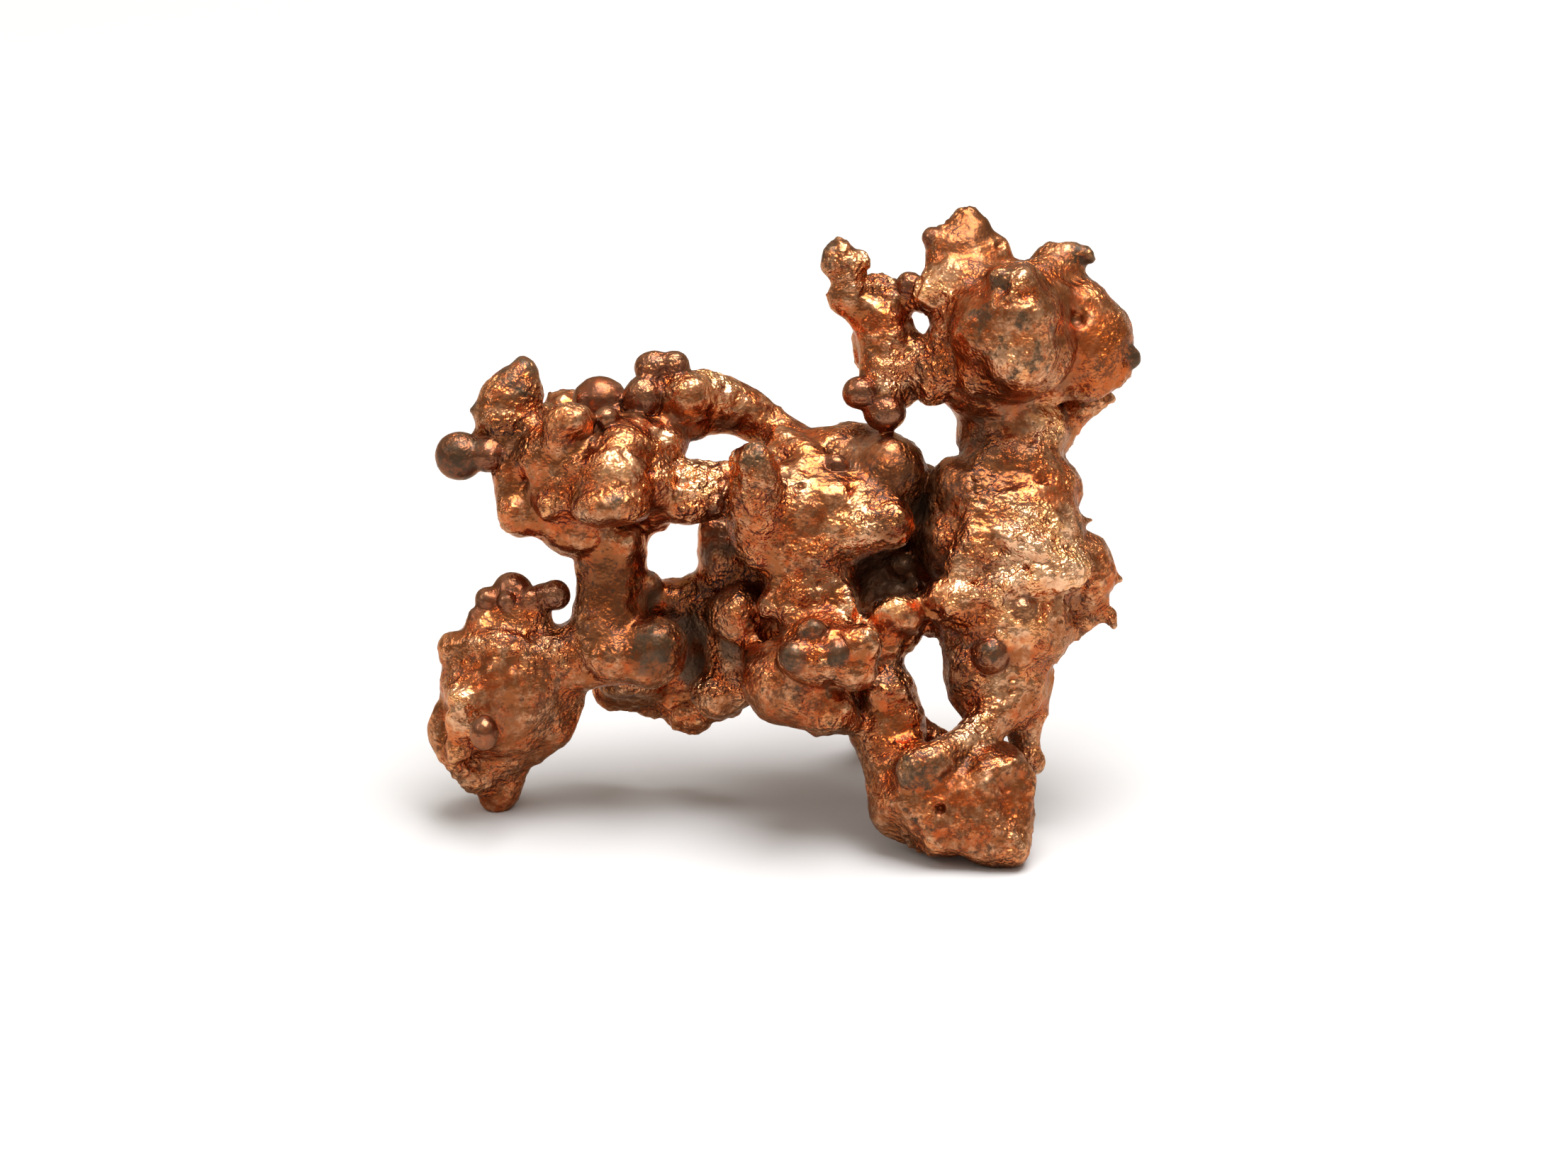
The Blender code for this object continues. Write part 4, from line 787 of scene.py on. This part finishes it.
# A dent is across, up, out, radius and depth. A depth below 0 is a small cone inside a pit.
DENTS = [
    (16.8, 30.6, 2.2, 0.75, 0.5), (16.5, 30.75, 2.2, 0.3, -0.2), (8.9, 3.3, 6.2, 0.45, 0.5),
    (-14.5, 21.6, 2.4, 0.35, 0.4), (-7.3, 22.2, 3.2, 0.4, 0.4), (19.4, 28.4, 1.4, 0.3, 0.3),
    (12.6, 32.1, 5.6, 0.5, 0.2), (13.6, 31.9, 5.8, 0.5, 0.2), (3.9, 21.1, 4, 0.4, 0.3),
    (-14, 12.8, 1.4, 0.5, 0.25), (-15, 11.4, 1.4, 0.7, 0.25), (2.9, 10.2, 5.2, 0.5, 0.35),
    (12.3, 34.9, 1.4, 0.4, 0.3),
]
DENT_REACH = 1.6  # mm in or out


def dents(places, rows):
    """Round pits pressed in from the front, deepest in the middle. A dent reaches points within its
    radius across and up, and within DENT_REACH in or out."""
    total = np.zeros(len(places))
    for across, up, out, radius, depth in rows:
        apart = np.hypot(places[:, 0] - across, places[:, 1] - up) / radius
        near = np.abs(places[:, 2] - out) < DENT_REACH
        total = total + near * depth * (1 - ramp(apart, 0.1, 1))
    return total


def flattened(places, rows):
    """Places in front of a flat are pressed back onto its plane: the flat's direction is at right
    angles to the plane, and the pressing fades out from 0.6 to 1 of its reach."""
    for row in rows:
        middle, direction, reach = np.array(row[:3]), np.array(row[3:6]), row[6]
        direction = direction / np.linalg.norm(direction)
        past = np.maximum((places - middle) @ direction, 0)
        share = 1 - ramp(np.linalg.norm(places - middle, axis=-1), 0.6 * reach, reach)
        places = places - (past * share)[:, None] * direction
    return places


pressed = flattened(np.array(((9.4, 3.2, 7.0),)), FLATS)
print("a place 1.3 mm in front of a flat is pressed to", pressed[0].round(2))

# %% [markdown]
# ## The skin of the drops
# Relief, melting and browning all have to know which part of the skin belongs to a drop.

# %% On the beads
BEAD_EDGE = 0.22  # mm
BEAD_SURROUNDS = 0.3  # mm


def on_beads(places, rows, skin):
    """1 on the skin of a bead, 0 further than `skin` millimetres from it: the distance is the
    length of the place in the bead's own half sizes, less 1, times the smallest half size. The
    small turns of some beads are left out."""
    strongest = np.zeros(len(places))
    for across, up, out, *sizes in rows:
        size = np.array(sizes[:3])
        apart = (np.linalg.norm((places - (across, up, out)) / size, axis=-1) - 1) * size.min()
        strongest = np.maximum(strongest, 1 - ramp(np.abs(apart), 0.3 * skin, skin))
    return strongest


middle = np.array(BEADS[0][:3])
print("at a bead's middle:", on_beads(middle[None], BEADS[:1], BEAD_EDGE))

# %% [markdown]
# ## Soften the joints
# Real forms run into each other as if they had begun to melt, and never meet in a sharp crease.
# Moving each point towards the mean of its neighbours rounds the creases, but it would also thin
# the necks and shrink the drops. So no point goes far, and the drops move a fifth of the way.

# %% Points and edges of a mesh
def read_points(mesh):
    """A mesh's points and normals as arrays, in metres."""
    points = np.empty(len(mesh.vertices) * 3, np.float32)
    normals = np.empty(len(mesh.vertices) * 3, np.float32)
    mesh.vertices.foreach_get("co", points)
    mesh.vertex_normals.foreach_get("vector", normals)
    return points.reshape(-1, 3).astype(float), normals.reshape(-1, 3).astype(float)


def eased(points, edges, passes):
    """Each pass moves every point half the way to the mean of its neighbours."""
    count = len(points)
    ends = np.concatenate((edges[:, 0], edges[:, 1]))
    others = np.concatenate((edges[:, 1], edges[:, 0]))
    shares = np.bincount(ends, minlength=count)[:, None]
    for _ in range(passes):
        total = [np.bincount(ends, points[others, i], minlength=count) for i in range(3)]
        points = (points + np.stack(total, axis=-1) / shares) / 2
    return points


def write_points(mesh, points):
    """Puts an array of points back into its mesh."""
    mesh.vertices.foreach_set("co", points.astype(np.float32).ravel())
    mesh.update()


def mesh_edges(mesh):
    """The mesh's edges as pairs of point numbers."""
    edges = np.empty(len(mesh.edges) * 2, np.int32)
    mesh.edges.foreach_get("vertices", edges)
    return edges.reshape(-1, 2)


edges = mesh_edges(mesh)
print(len(edges), "edges")

# %% Press the flats and soften
MELT_PASSES, LAST_PASSES = 44, 4
FARTHEST = 0.16 * MM
BEADS_KEEP = 0.8

points, _ = read_points(mesh)
points = on_board(flattened(to_board(points), FLATS))
near_bead = on_beads(to_board(points), BEADS, BEAD_SURROUNDS)
melt = eased(points, edges, MELT_PASSES) - points
length = np.linalg.norm(melt, axis=1)
share = np.minimum(1, FARTHEST / np.maximum(length, 1e-9)) * (1 - BEADS_KEEP * near_bead)
write_points(mesh, eased(points + melt * share[:, None], edges, LAST_PASSES))
print("half of the points melt by more than", np.median(length / MM).round(3), "mm before the cap")

# %% [markdown]
# ## Relief
# Now the skin is pushed in and out along its own normals. Wide swells bend the round forms, folds
# give the crumpled foil look, grains cover some patches with small drops, and a few pits go in.
# First the points wander sideways a little, which takes the machine-like roundness off the forms.

# %% Let the forms wander
WANDER = 0.20  # mm

points, normals = read_points(mesh)
places = to_board(points)
bead = on_beads(places, BEADS, BEAD_EDGE)
quiet = spots(places, QUIET)
rough = 1 - np.maximum(0.65 * bead, 0.7 * quiet)  # the share of the relief that stays
wander = np.stack([layered(places, 1.7, 2, seed) for seed in (11, 16, 21)], axis=-1)
points = points + wander * (WANDER * MM * (1 - bead))[:, None]
places = to_board(points)
print("points wander by up to", (WANDER * np.abs(wander).max()).round(2), "mm each way")

# %% Relief
# The factors in front of the patterns are heights in millimetres.
swell = layered(places, size=2.1, layers=2, seed=31)
ridge = folds(places + 0.4 * wander, size=0.85, layers=3, seed=91)
fold = folds(places + 0.3 * wander, size=1.3, layers=2, seed=41)
crinkle = folds(places + 0.1 * wander, size=0.55, layers=2, seed=53)
patch = np.maximum(ramp(layered(places, 5.0, 2, seed=61), 0, 0.4), spots(places, BRIGHT))
grain, _ = grains(places, size=0.62, seed=71)
pit, pit_number = grains(places, size=1.9, seed=83)
one_in_five = pit_number > 0.8
height = 0.10 * swell + 0.10 * (fold - 0.45) + (0.03 + 0.06 * patch) * (crinkle - 0.5)
height = height + patch * (0.05 * (ramp(0.62 - grain, 0, 0.62) - 0.4) + 0.15 * (ridge - 0.5))
height = height - 0.26 * one_in_five * (1 - ramp(pit, 0.03, 0.17))
height = 0.07 + height * rough - dents(places + 0.25 * wander, DENTS)
points = points + normals * (height * MM)[:, None]
write_points(mesh, points)
print("relief from", height.min().round(2), "to", height.max().round(2), "mm")

# %% [markdown]
# ## What the finish needs to know
# Crests are rubbed bright and hollows stay dull. How far a point stands proud of its surroundings
# comes from comparing the skin with a much smoothed copy of itself. Deep slots between the forms
# are wider than that, so they are found with a coarse grid, and they get painted shade. The numbers
# stay with the points.

# %% Marks on the skin
def mark(mesh, name, values):
    """Stores one number for each point under a name that the material reads."""
    attribute = mesh.attributes.new(name, "FLOAT", "POINT")
    attribute.data.foreach_set("value", values.astype(np.float32))


def neighbours_middle(points, cell, blurs=4):
    """The middle of the skin around each point, up to `blurs` cells away. The points are counted
    and summed in a grid of cells, and each blur adds every cell's neighbours on both sides."""
    index = np.floor((points - points.min(0)) / cell).astype(int) + blurs
    shape = index.max(0) + blurs + 1
    flat = np.ravel_multi_index(index.T, shape)
    columns = [np.ones(len(points)), *points.T]
    grids = [np.bincount(flat, c, minlength=shape.prod()).reshape(shape) for c in columns]
    for axis in (0, 1, 2) * blurs:
        grids = [g + np.roll(g, 1, axis) + np.roll(g, -1, axis) for g in grids]
    count, *sums = [grid.ravel()[flat] for grid in grids]
    return np.stack(sums, axis=-1) / count[:, None]


PROUD_PASSES = 40
SLOT_CELL = 0.9 * MM

points, normals = read_points(mesh)
places = to_board(points)
proud = ((points - eased(points, edges, PROUD_PASSES)) * normals).sum(-1) / MM
deep = ((neighbours_middle(points, SLOT_CELL) - points) * normals).sum(-1) / MM
mark(mesh, "proud", proud)
# Painted shade: the slot depth plus the shaded spots, by which the copper darkens its colour.
mark(mesh, "deep", deep + spots(places, SHADED_SPOTS))
mark(mesh, "bead", on_beads(places, BEADS, BEAD_SURROUNDS))
tables = {"tarnish": TARNISH, "quiet": QUIET, "bright": BRIGHT, "ember": EMBERS, "dusk_and_shade": DUSKY_AND_SHADED}
for name, rows in tables.items():
    mark(mesh, name, spots(places, rows))
print("stands proud by", np.percentile(proud, (5, 50, 95)).round(3), "mm")
print("lies deep by", np.percentile(deep, (2, 25, 50, 75, 98)).round(2), "mm")

# %% [markdown]
# ## Thin the skin and stand it on the ground
# The voxels gave flat places as many triangles as crumpled ones. A Decimate modifier takes away
# those that matter least, and the numbers stored on the points survive it. A few specks have come
# loose and are dropped. Then the feet are cut level, so that the nugget stands instead of floating.

# %% Thin to the triangles that count
MOST_TRIANGLES = 196_000  # one piece stays under 200,000

mesh.calc_loop_triangles()
thin = nugget.modifiers.new("thin", "DECIMATE")
thin.ratio = MOST_TRIANGLES / len(mesh.loop_triangles)
mesh = applied(nugget)
print("thinned to", len(mesh.polygons), "faces")

# %% Stand on the ground
def specks(mesh):
    """The numbers of the points that hang on no edge path to the main skin. Every point starts as
    its own group and takes the smallest group number along its edges, until no number changes."""
    one, other = mesh_edges(mesh).T
    group = np.arange(len(mesh.vertices))
    settled = False
    while not settled:
        smallest = np.minimum(group[one], group[other])
        taken = group.copy()
        np.minimum.at(taken, one, smallest)
        np.minimum.at(taken, other, smallest)
        taken = taken[taken]
        settled = np.array_equal(taken, group)
        group = taken
    return np.flatnonzero(group != np.bincount(group).argmax())


def stand_on_ground(mesh):
    """Drops stray specks, cuts the mesh off at z = 0 and closes each cut with a flat face."""
    work = bmesh.new()
    work.from_mesh(mesh)
    work.verts.ensure_lookup_table()
    stray = [work.verts[number] for number in specks(mesh)]
    bmesh.ops.delete(work, geom=stray, context="VERTS")
    cut = bmesh.ops.bisect_plane(
        work,
        geom=work.verts[:] + work.edges[:] + work.faces[:],
        plane_co=(0, 0, 0),
        plane_no=(0, 0, -1),
        clear_outer=True,
    )
    rim = [part for part in cut["geom_cut"] if isinstance(part, bmesh.types.BMEdge)]
    caps = bmesh.ops.holes_fill(work, edges=rim)["faces"]
    bmesh.ops.triangulate(work, faces=caps)
    bmesh.ops.recalc_face_normals(work, faces=work.faces[:])
    open_edges = sum(not edge.is_manifold for edge in work.edges)
    work.to_mesh(mesh)
    work.free()
    mesh.shade_smooth()
    mesh.calc_loop_triangles()
    print(len(mesh.loop_triangles), "triangles,", open_edges, "open edges")
    print(len(stray), "stray points cut; mended by validate:", mesh.validate())


stand_on_ground(mesh)

# %% [markdown]
# ## Sums on sockets
# A material is a graph of nodes. Written node by node it is hard to read, so a small class wraps a
# socket: adding or multiplying two of them makes the Math node that does it.

# %% Node graph helpers
class Flow:
    """A socket of a node graph that sums can be written with."""

    def __init__(self, graph, socket):
        self.graph, self.socket = graph, socket

    def sum(self, operation, first, second):
        return self.graph.node("Math", {"operation": operation}, {0: first, 1: second})

    def __add__(self, other):
        return self.sum("ADD", self, other)

    def __sub__(self, other):
        return self.sum("SUBTRACT", self, other)

    def __rsub__(self, other):
        return self.sum("SUBTRACT", other, self)

    def __mul__(self, other):
        return self.sum("MULTIPLY", self, other)

    __radd__, __rmul__ = __add__, __mul__


class Graph:
    """Makes nodes in one node tree."""

    def __init__(self, tree):
        self.tree = tree

    def node(self, kind, settings=None, inputs=None, output=0):
        """A node of a type: its settings first, then the values or links of its sockets."""
        made = self.tree.nodes.new("ShaderNode" + kind)
        for name, value in (settings or {}).items():
            setattr(made, name, value)
        for key, value in (inputs or {}).items():
            self.feed(made.inputs[key], value)
        return Flow(self, made.outputs[output])

    def feed(self, socket, value):
        """Links a flow to a socket, or sets the socket's own value."""
        if isinstance(value, Flow):
            self.tree.links.new(value.socket, socket)
        else:
            socket.default_value = value

    def blend(self, factor, first, second):
        """A colour between two colours."""
        inputs = {0: factor, 6: first, 7: second}
        return self.node("Mix", {"data_type": "RGBA"}, inputs, output=2)

    def between(self, value, low, high):
        """0 up to low, 1 from high, and a smooth step between."""
        settings = {"interpolation_type": "SMOOTHSTEP"}
        return self.node("MapRange", settings, {0: value, 1: low, 2: high})

    def noise(self, place, size, detail=3, roughness=0.6):
        """Noise about `size` millimetres across, from 0 to 1."""
        inputs = {"Vector": place, "Scale": 1 / (size * MM), "Detail": detail}
        inputs["Roughness"] = roughness
        return self.node("TexNoise", None, inputs)

    def mark(self, name):
        """A number that was stored on the mesh."""
        return self.node("Attribute", {"attribute_name": name}, output="Fac")


# %% [markdown]
# ## The copper
# Clean copper shows where it is rubbed, pale and pink on the crests; on bright ledges the same pale
# colour is a painted highlight. Below them it is browner, and warm where light bounces from copper
# to copper. Thin films lie over it: an orange one, a dusky one that is partly painted shade, dark
# specks, and an olive-brown tarnish that is no longer quite metal. Deep slots get painted shade. A
# plain metal with one colour would look like new wire, so every film gets a mask with a ragged
# edge.

# %% Copper colours
CLEAN = (0.93, 0.45, 0.18, 1)
PINK = (0.91, 0.53, 0.30, 1)
BROWN = (0.28, 0.08, 0.019, 1)
RED = (0.40, 0.07, 0.010, 1)
SHADE_COLOUR = (0.10, 0.06, 0.036, 1)
EMBER = (0.42, 0.08, 0.007, 1)
DUSK_AND_SHADE = (0.15, 0.045, 0.011, 1)
PLUM = (0.14, 0.045, 0.022, 1)
DARK = (0.07, 0.024, 0.009, 1)
OLIVE = (0.05, 0.028, 0.012, 1)
GLINT = (0.82, 0.63, 0.48, 1)
print("rubbed copper throws back", CLEAN[:3], "of red, green and blue")

# %% [markdown]
# ## Where each film lies
# Rubbing, damp and dirt work unevenly, and so do the painted highlight and shade. A mask could be
# painted on, but then it would stop at a seam. Marks say roughly where a film lies, and noise in
# the nugget's own space frays its edge.

# %% Masks of the films, the painted highlight and the painted shade
def copper_masks(graph):
    """The masks of the films, of the painted highlight and of the painted shade, from 0 to 1. A
    mask is a mark on the skin plus noise about 3, 0.9, 0.5 or 0.28 mm across, and the two numbers
    in
    `between` say which part of the sum counts."""
    place = graph.node("TexCoord", output="Object")
    broad, cloud = graph.noise(place, 3.0), graph.noise(place, 0.9)
    mottle = graph.noise(place, 0.5, detail=6, roughness=0.78)
    fine = graph.noise(place, 0.28, detail=4, roughness=0.7)
    bead, quiet, bright = graph.mark("bead"), graph.mark("quiet"), graph.mark("bright")
    # The proud share is wear on the crests; the bright share is a painted highlight and also thins
    # the dark specks.
    rubbed_and_lit = graph.mark("proud") * 2.4 + fine * 1.1 + cloud * 0.9 + broad * 0.8 + bright * 0.5
    speck = mottle + broad * 0.35 + quiet * 0.05 - bright * 0.1
    ember = graph.mark("ember") + (cloud - 0.5) * 1.1 + (broad - 0.5) * 0.8
    tarnish = graph.mark("tarnish") + (cloud - 0.5) * 1.8 + (mottle - 0.5) * 3.0
    browned = bead * 0.9 + (cloud - 0.5) * 1.6 + (mottle - 0.5) * 1.6
    # Dusk mask: a red-brown film and painted shade together.
    dusk_and_shade = graph.mark("dusk_and_shade") + (broad - 0.5) * 1.6 + (cloud - 0.5) * 0.9 + (mottle - 0.5) * 0.9
    # Painted shade: deep slots and shaded spots get a dark, dull, less metallic colour.
    painted_shade = graph.mark("deep") + (cloud - 0.5) * 1.2
    return SimpleNamespace(
        place=place,
        broad=broad,
        cloud=cloud,
        bead=bead,
        quiet=quiet,
        blush=graph.between(graph.noise(place, 1.5, detail=5), 0.42, 0.58),
        grit=graph.between(fine, 0.36, 0.62),
        rubbed_and_lit=graph.between(rubbed_and_lit, 1.25, 2.35),
        speck=graph.between(speck, 0.69, 0.79),
        ember=graph.between(ember, 0.25, 0.8),
        tarnish=graph.between(tarnish, 0.3, 0.95),
        browned=graph.between(browned, 0.2, 0.9),
        dusk_and_shade=graph.between(dusk_and_shade, 0.1, 0.8),
        painted_shade=graph.between(painted_shade, -0.3, 1.0),
    )


# %% Colour of the copper
def copper_colour(graph, masks):
    """Rubbed metal on the crests and on the bright ledges, where it is a painted highlight, and
    brown metal below them, both in two tints. The films and the painted shade of dusk and slots go
    over them one after another. Grit in a film lets the metal show through in fine dots."""
    low = graph.blend(masks.blush, BROWN, RED)
    high = graph.blend(masks.blush, PINK, CLEAN)
    colour = graph.blend(masks.rubbed_and_lit, low, high)
    films_and_shade = (
        (masks.ember * 0.7, EMBER),
        # Dusk: a red-brown film that is also painted shade.
        (masks.dusk_and_shade * (0.6 + masks.grit * 0.35), DUSK_AND_SHADE),
        (masks.speck * 0.65, DARK),
        (masks.browned * (0.6 + masks.grit * 0.25), PLUM),
        (masks.tarnish * (0.75 + masks.grit * 0.2), OLIVE),
        # Painted shade in deep slots and shaded spots.
        (masks.painted_shade * 0.9, SHADE_COLOUR),
    )
    for cover, cover_colour in films_and_shade:
        colour = graph.blend(cover, colour, cover_colour)
    return colour


# %% [markdown]
# ## Glints
# The skin glitters because it is made of facets too small for the mesh. Bumps only tilt the light
# on them, which is all that a facet of that size does.

# %% Bumps of the copper
BUMP_HEIGHT = 0.11 * MM


def copper_bumps(graph, masks):
    """Facets 0.3 mm across with ripples of 0.17 mm on them. Broad noise makes them strong in some
    places, and drops and quiet skin have less of them."""
    facet = graph.between(graph.noise(masks.place, 0.3, detail=1, roughness=0.5), 0.3, 0.7)
    ripple = graph.noise(masks.place, 0.17, detail=1, roughness=0.5)
    crumple = 0.2 + graph.between(masks.broad, 0.42, 0.66)
    height = (facet + ripple * 0.5) * (1 - masks.bead * 0.45)
    height = height * crumple * (1 - masks.quiet * 0.5)
    return graph.node("Bump", None, {"Strength": 1.0, "Distance": BUMP_HEIGHT, "Height": height})


# %% Copper material
def copper():
    """Metal under its films, with a thin clear coat for the waxy shine of handled copper. Tarnish
    and the painted shade in the slots are less metallic and less smooth, and the painted shade
    takes most of the coat away."""
    material = bpy.data.materials.new("native copper")
    material.use_nodes = True
    graph = Graph(material.node_tree)
    shader = material.node_tree.nodes["Principled BSDF"].inputs
    masks = copper_masks(graph)
    roughness = 0.13 + masks.cloud * 0.2 + masks.tarnish * 0.14 + masks.speck * 0.2
    roughness = roughness + masks.quiet * 0.14 + masks.bead * 0.04 + masks.painted_shade * 0.2
    graph.feed(shader["Base Color"], copper_colour(graph, masks))
    graph.feed(shader["Metallic"], 1 - masks.tarnish * 0.25 - masks.painted_shade * 0.7)
    graph.feed(shader["Roughness"], roughness)
    graph.feed(shader["Coat Weight"], 0.26 - masks.painted_shade * masks.painted_shade * 0.2)
    graph.feed(shader["Coat Roughness"], 0.35)
    graph.feed(shader["Specular Tint"], GLINT)
    graph.feed(shader["Normal"], copper_bumps(graph, masks))
    print(len(material.node_tree.nodes), "nodes in the copper")
    return material


nugget.data.materials.clear()
nugget.data.materials.append(copper())

# %% [markdown]
# ## The table
# The table is pale grey and matt. Lit a little past white, it leaves nothing to see but the soft
# shadow. It is part of the stage, so it isn't attached to the nugget's body.

# %% Table
HALF_WIDTH = 2.0
PALE = (0.55, 0.55, 0.56, 1)


def add_floor():
    """A flat square under the nugget, with a dull paint."""
    corners = np.array(((-1, -1), (1, -1), (1, 1), (-1, 1))) * HALF_WIDTH
    mesh = bpy.data.meshes.new("floor")
    mesh.from_pydata([(x, y, 0) for x, y in corners], [], [(0, 1, 2, 3)])
    paint = bpy.data.materials.new("pale table")
    paint.use_nodes = True
    shader = paint.node_tree.nodes["Principled BSDF"].inputs
    shader["Base Color"].default_value = PALE
    shader["Roughness"].default_value = 0.9
    shader["Specular IOR Level"].default_value = 0.1
    mesh.materials.append(paint)
    floor = bpy.data.objects.new("floor", mesh)
    bpy.context.scene.collection.objects.link(floor)


add_floor()
print("table:", 2 * HALF_WIDTH, "m wide")

# %% [markdown]
# ## The light
# Metal shows what is around it, so broad soft lights matter more than strong ones. A panel
# overhead, a little to the right and in front, makes every upward facet glint. A small window on
# the left lights the left sides, and the room is warm, bright above and dim below.

# %% Panels
AIM = Vector((0, 0, 0.015))  # the middle of the nugget


def add_panel(name, place, width, height, glow):
    """A rectangular light that faces the nugget. Its glow is how bright its face looks."""
    panel = bpy.data.lights.new(name, "AREA")
    panel.shape = "RECTANGLE"
    panel.size, panel.size_y = width, height
    panel.energy = glow * math.pi * width * height
    lamp = bpy.data.objects.new(name, panel)
    bpy.context.scene.collection.objects.link(lamp)
    lamp.location = place
    lamp.rotation_euler = (AIM - lamp.location).to_track_quat("-Z", "Y").to_euler()
    print(name, "shines with", round(panel.energy, 2), "W")


add_panel("overhead panel", (0.06, -0.02, 0.42), width=0.34, height=0.30, glow=9.8)
add_panel("left window", (-0.40, -0.10, 0.30), width=0.10, height=0.16, glow=5.0)

# %% Room
WARM = (1, 0.93, 0.82, 1)


def add_room():
    """Soft light from all around: bright overhead, a little brighter behind than in front. The
    direction looked in gives depth and height, each smoothed between two of its values."""
    world = bpy.data.worlds.new("room")
    world.use_nodes = True
    bpy.context.scene.world = world
    graph = Graph(world.node_tree)
    shell = world.node_tree.nodes["Background"].inputs
    direction = graph.node("TexCoord", output="Generated")
    behind = graph.between(graph.node("SeparateXYZ", None, {0: direction}, output="Y"), -0.4, 0.8)
    above = graph.between(graph.node("SeparateXYZ", None, {0: direction}, output="Z"), 0.1, 0.9)
    graph.feed(shell["Strength"], 0.34 + behind * 0.1 + above * 0.55)
    graph.feed(shell["Color"], WARM)


add_room()
bpy.context.scene.view_settings.view_transform = "Standard"
print("room and view set")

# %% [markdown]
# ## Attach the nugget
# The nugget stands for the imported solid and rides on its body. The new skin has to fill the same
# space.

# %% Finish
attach(nugget, "root")
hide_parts("copper_nugget")
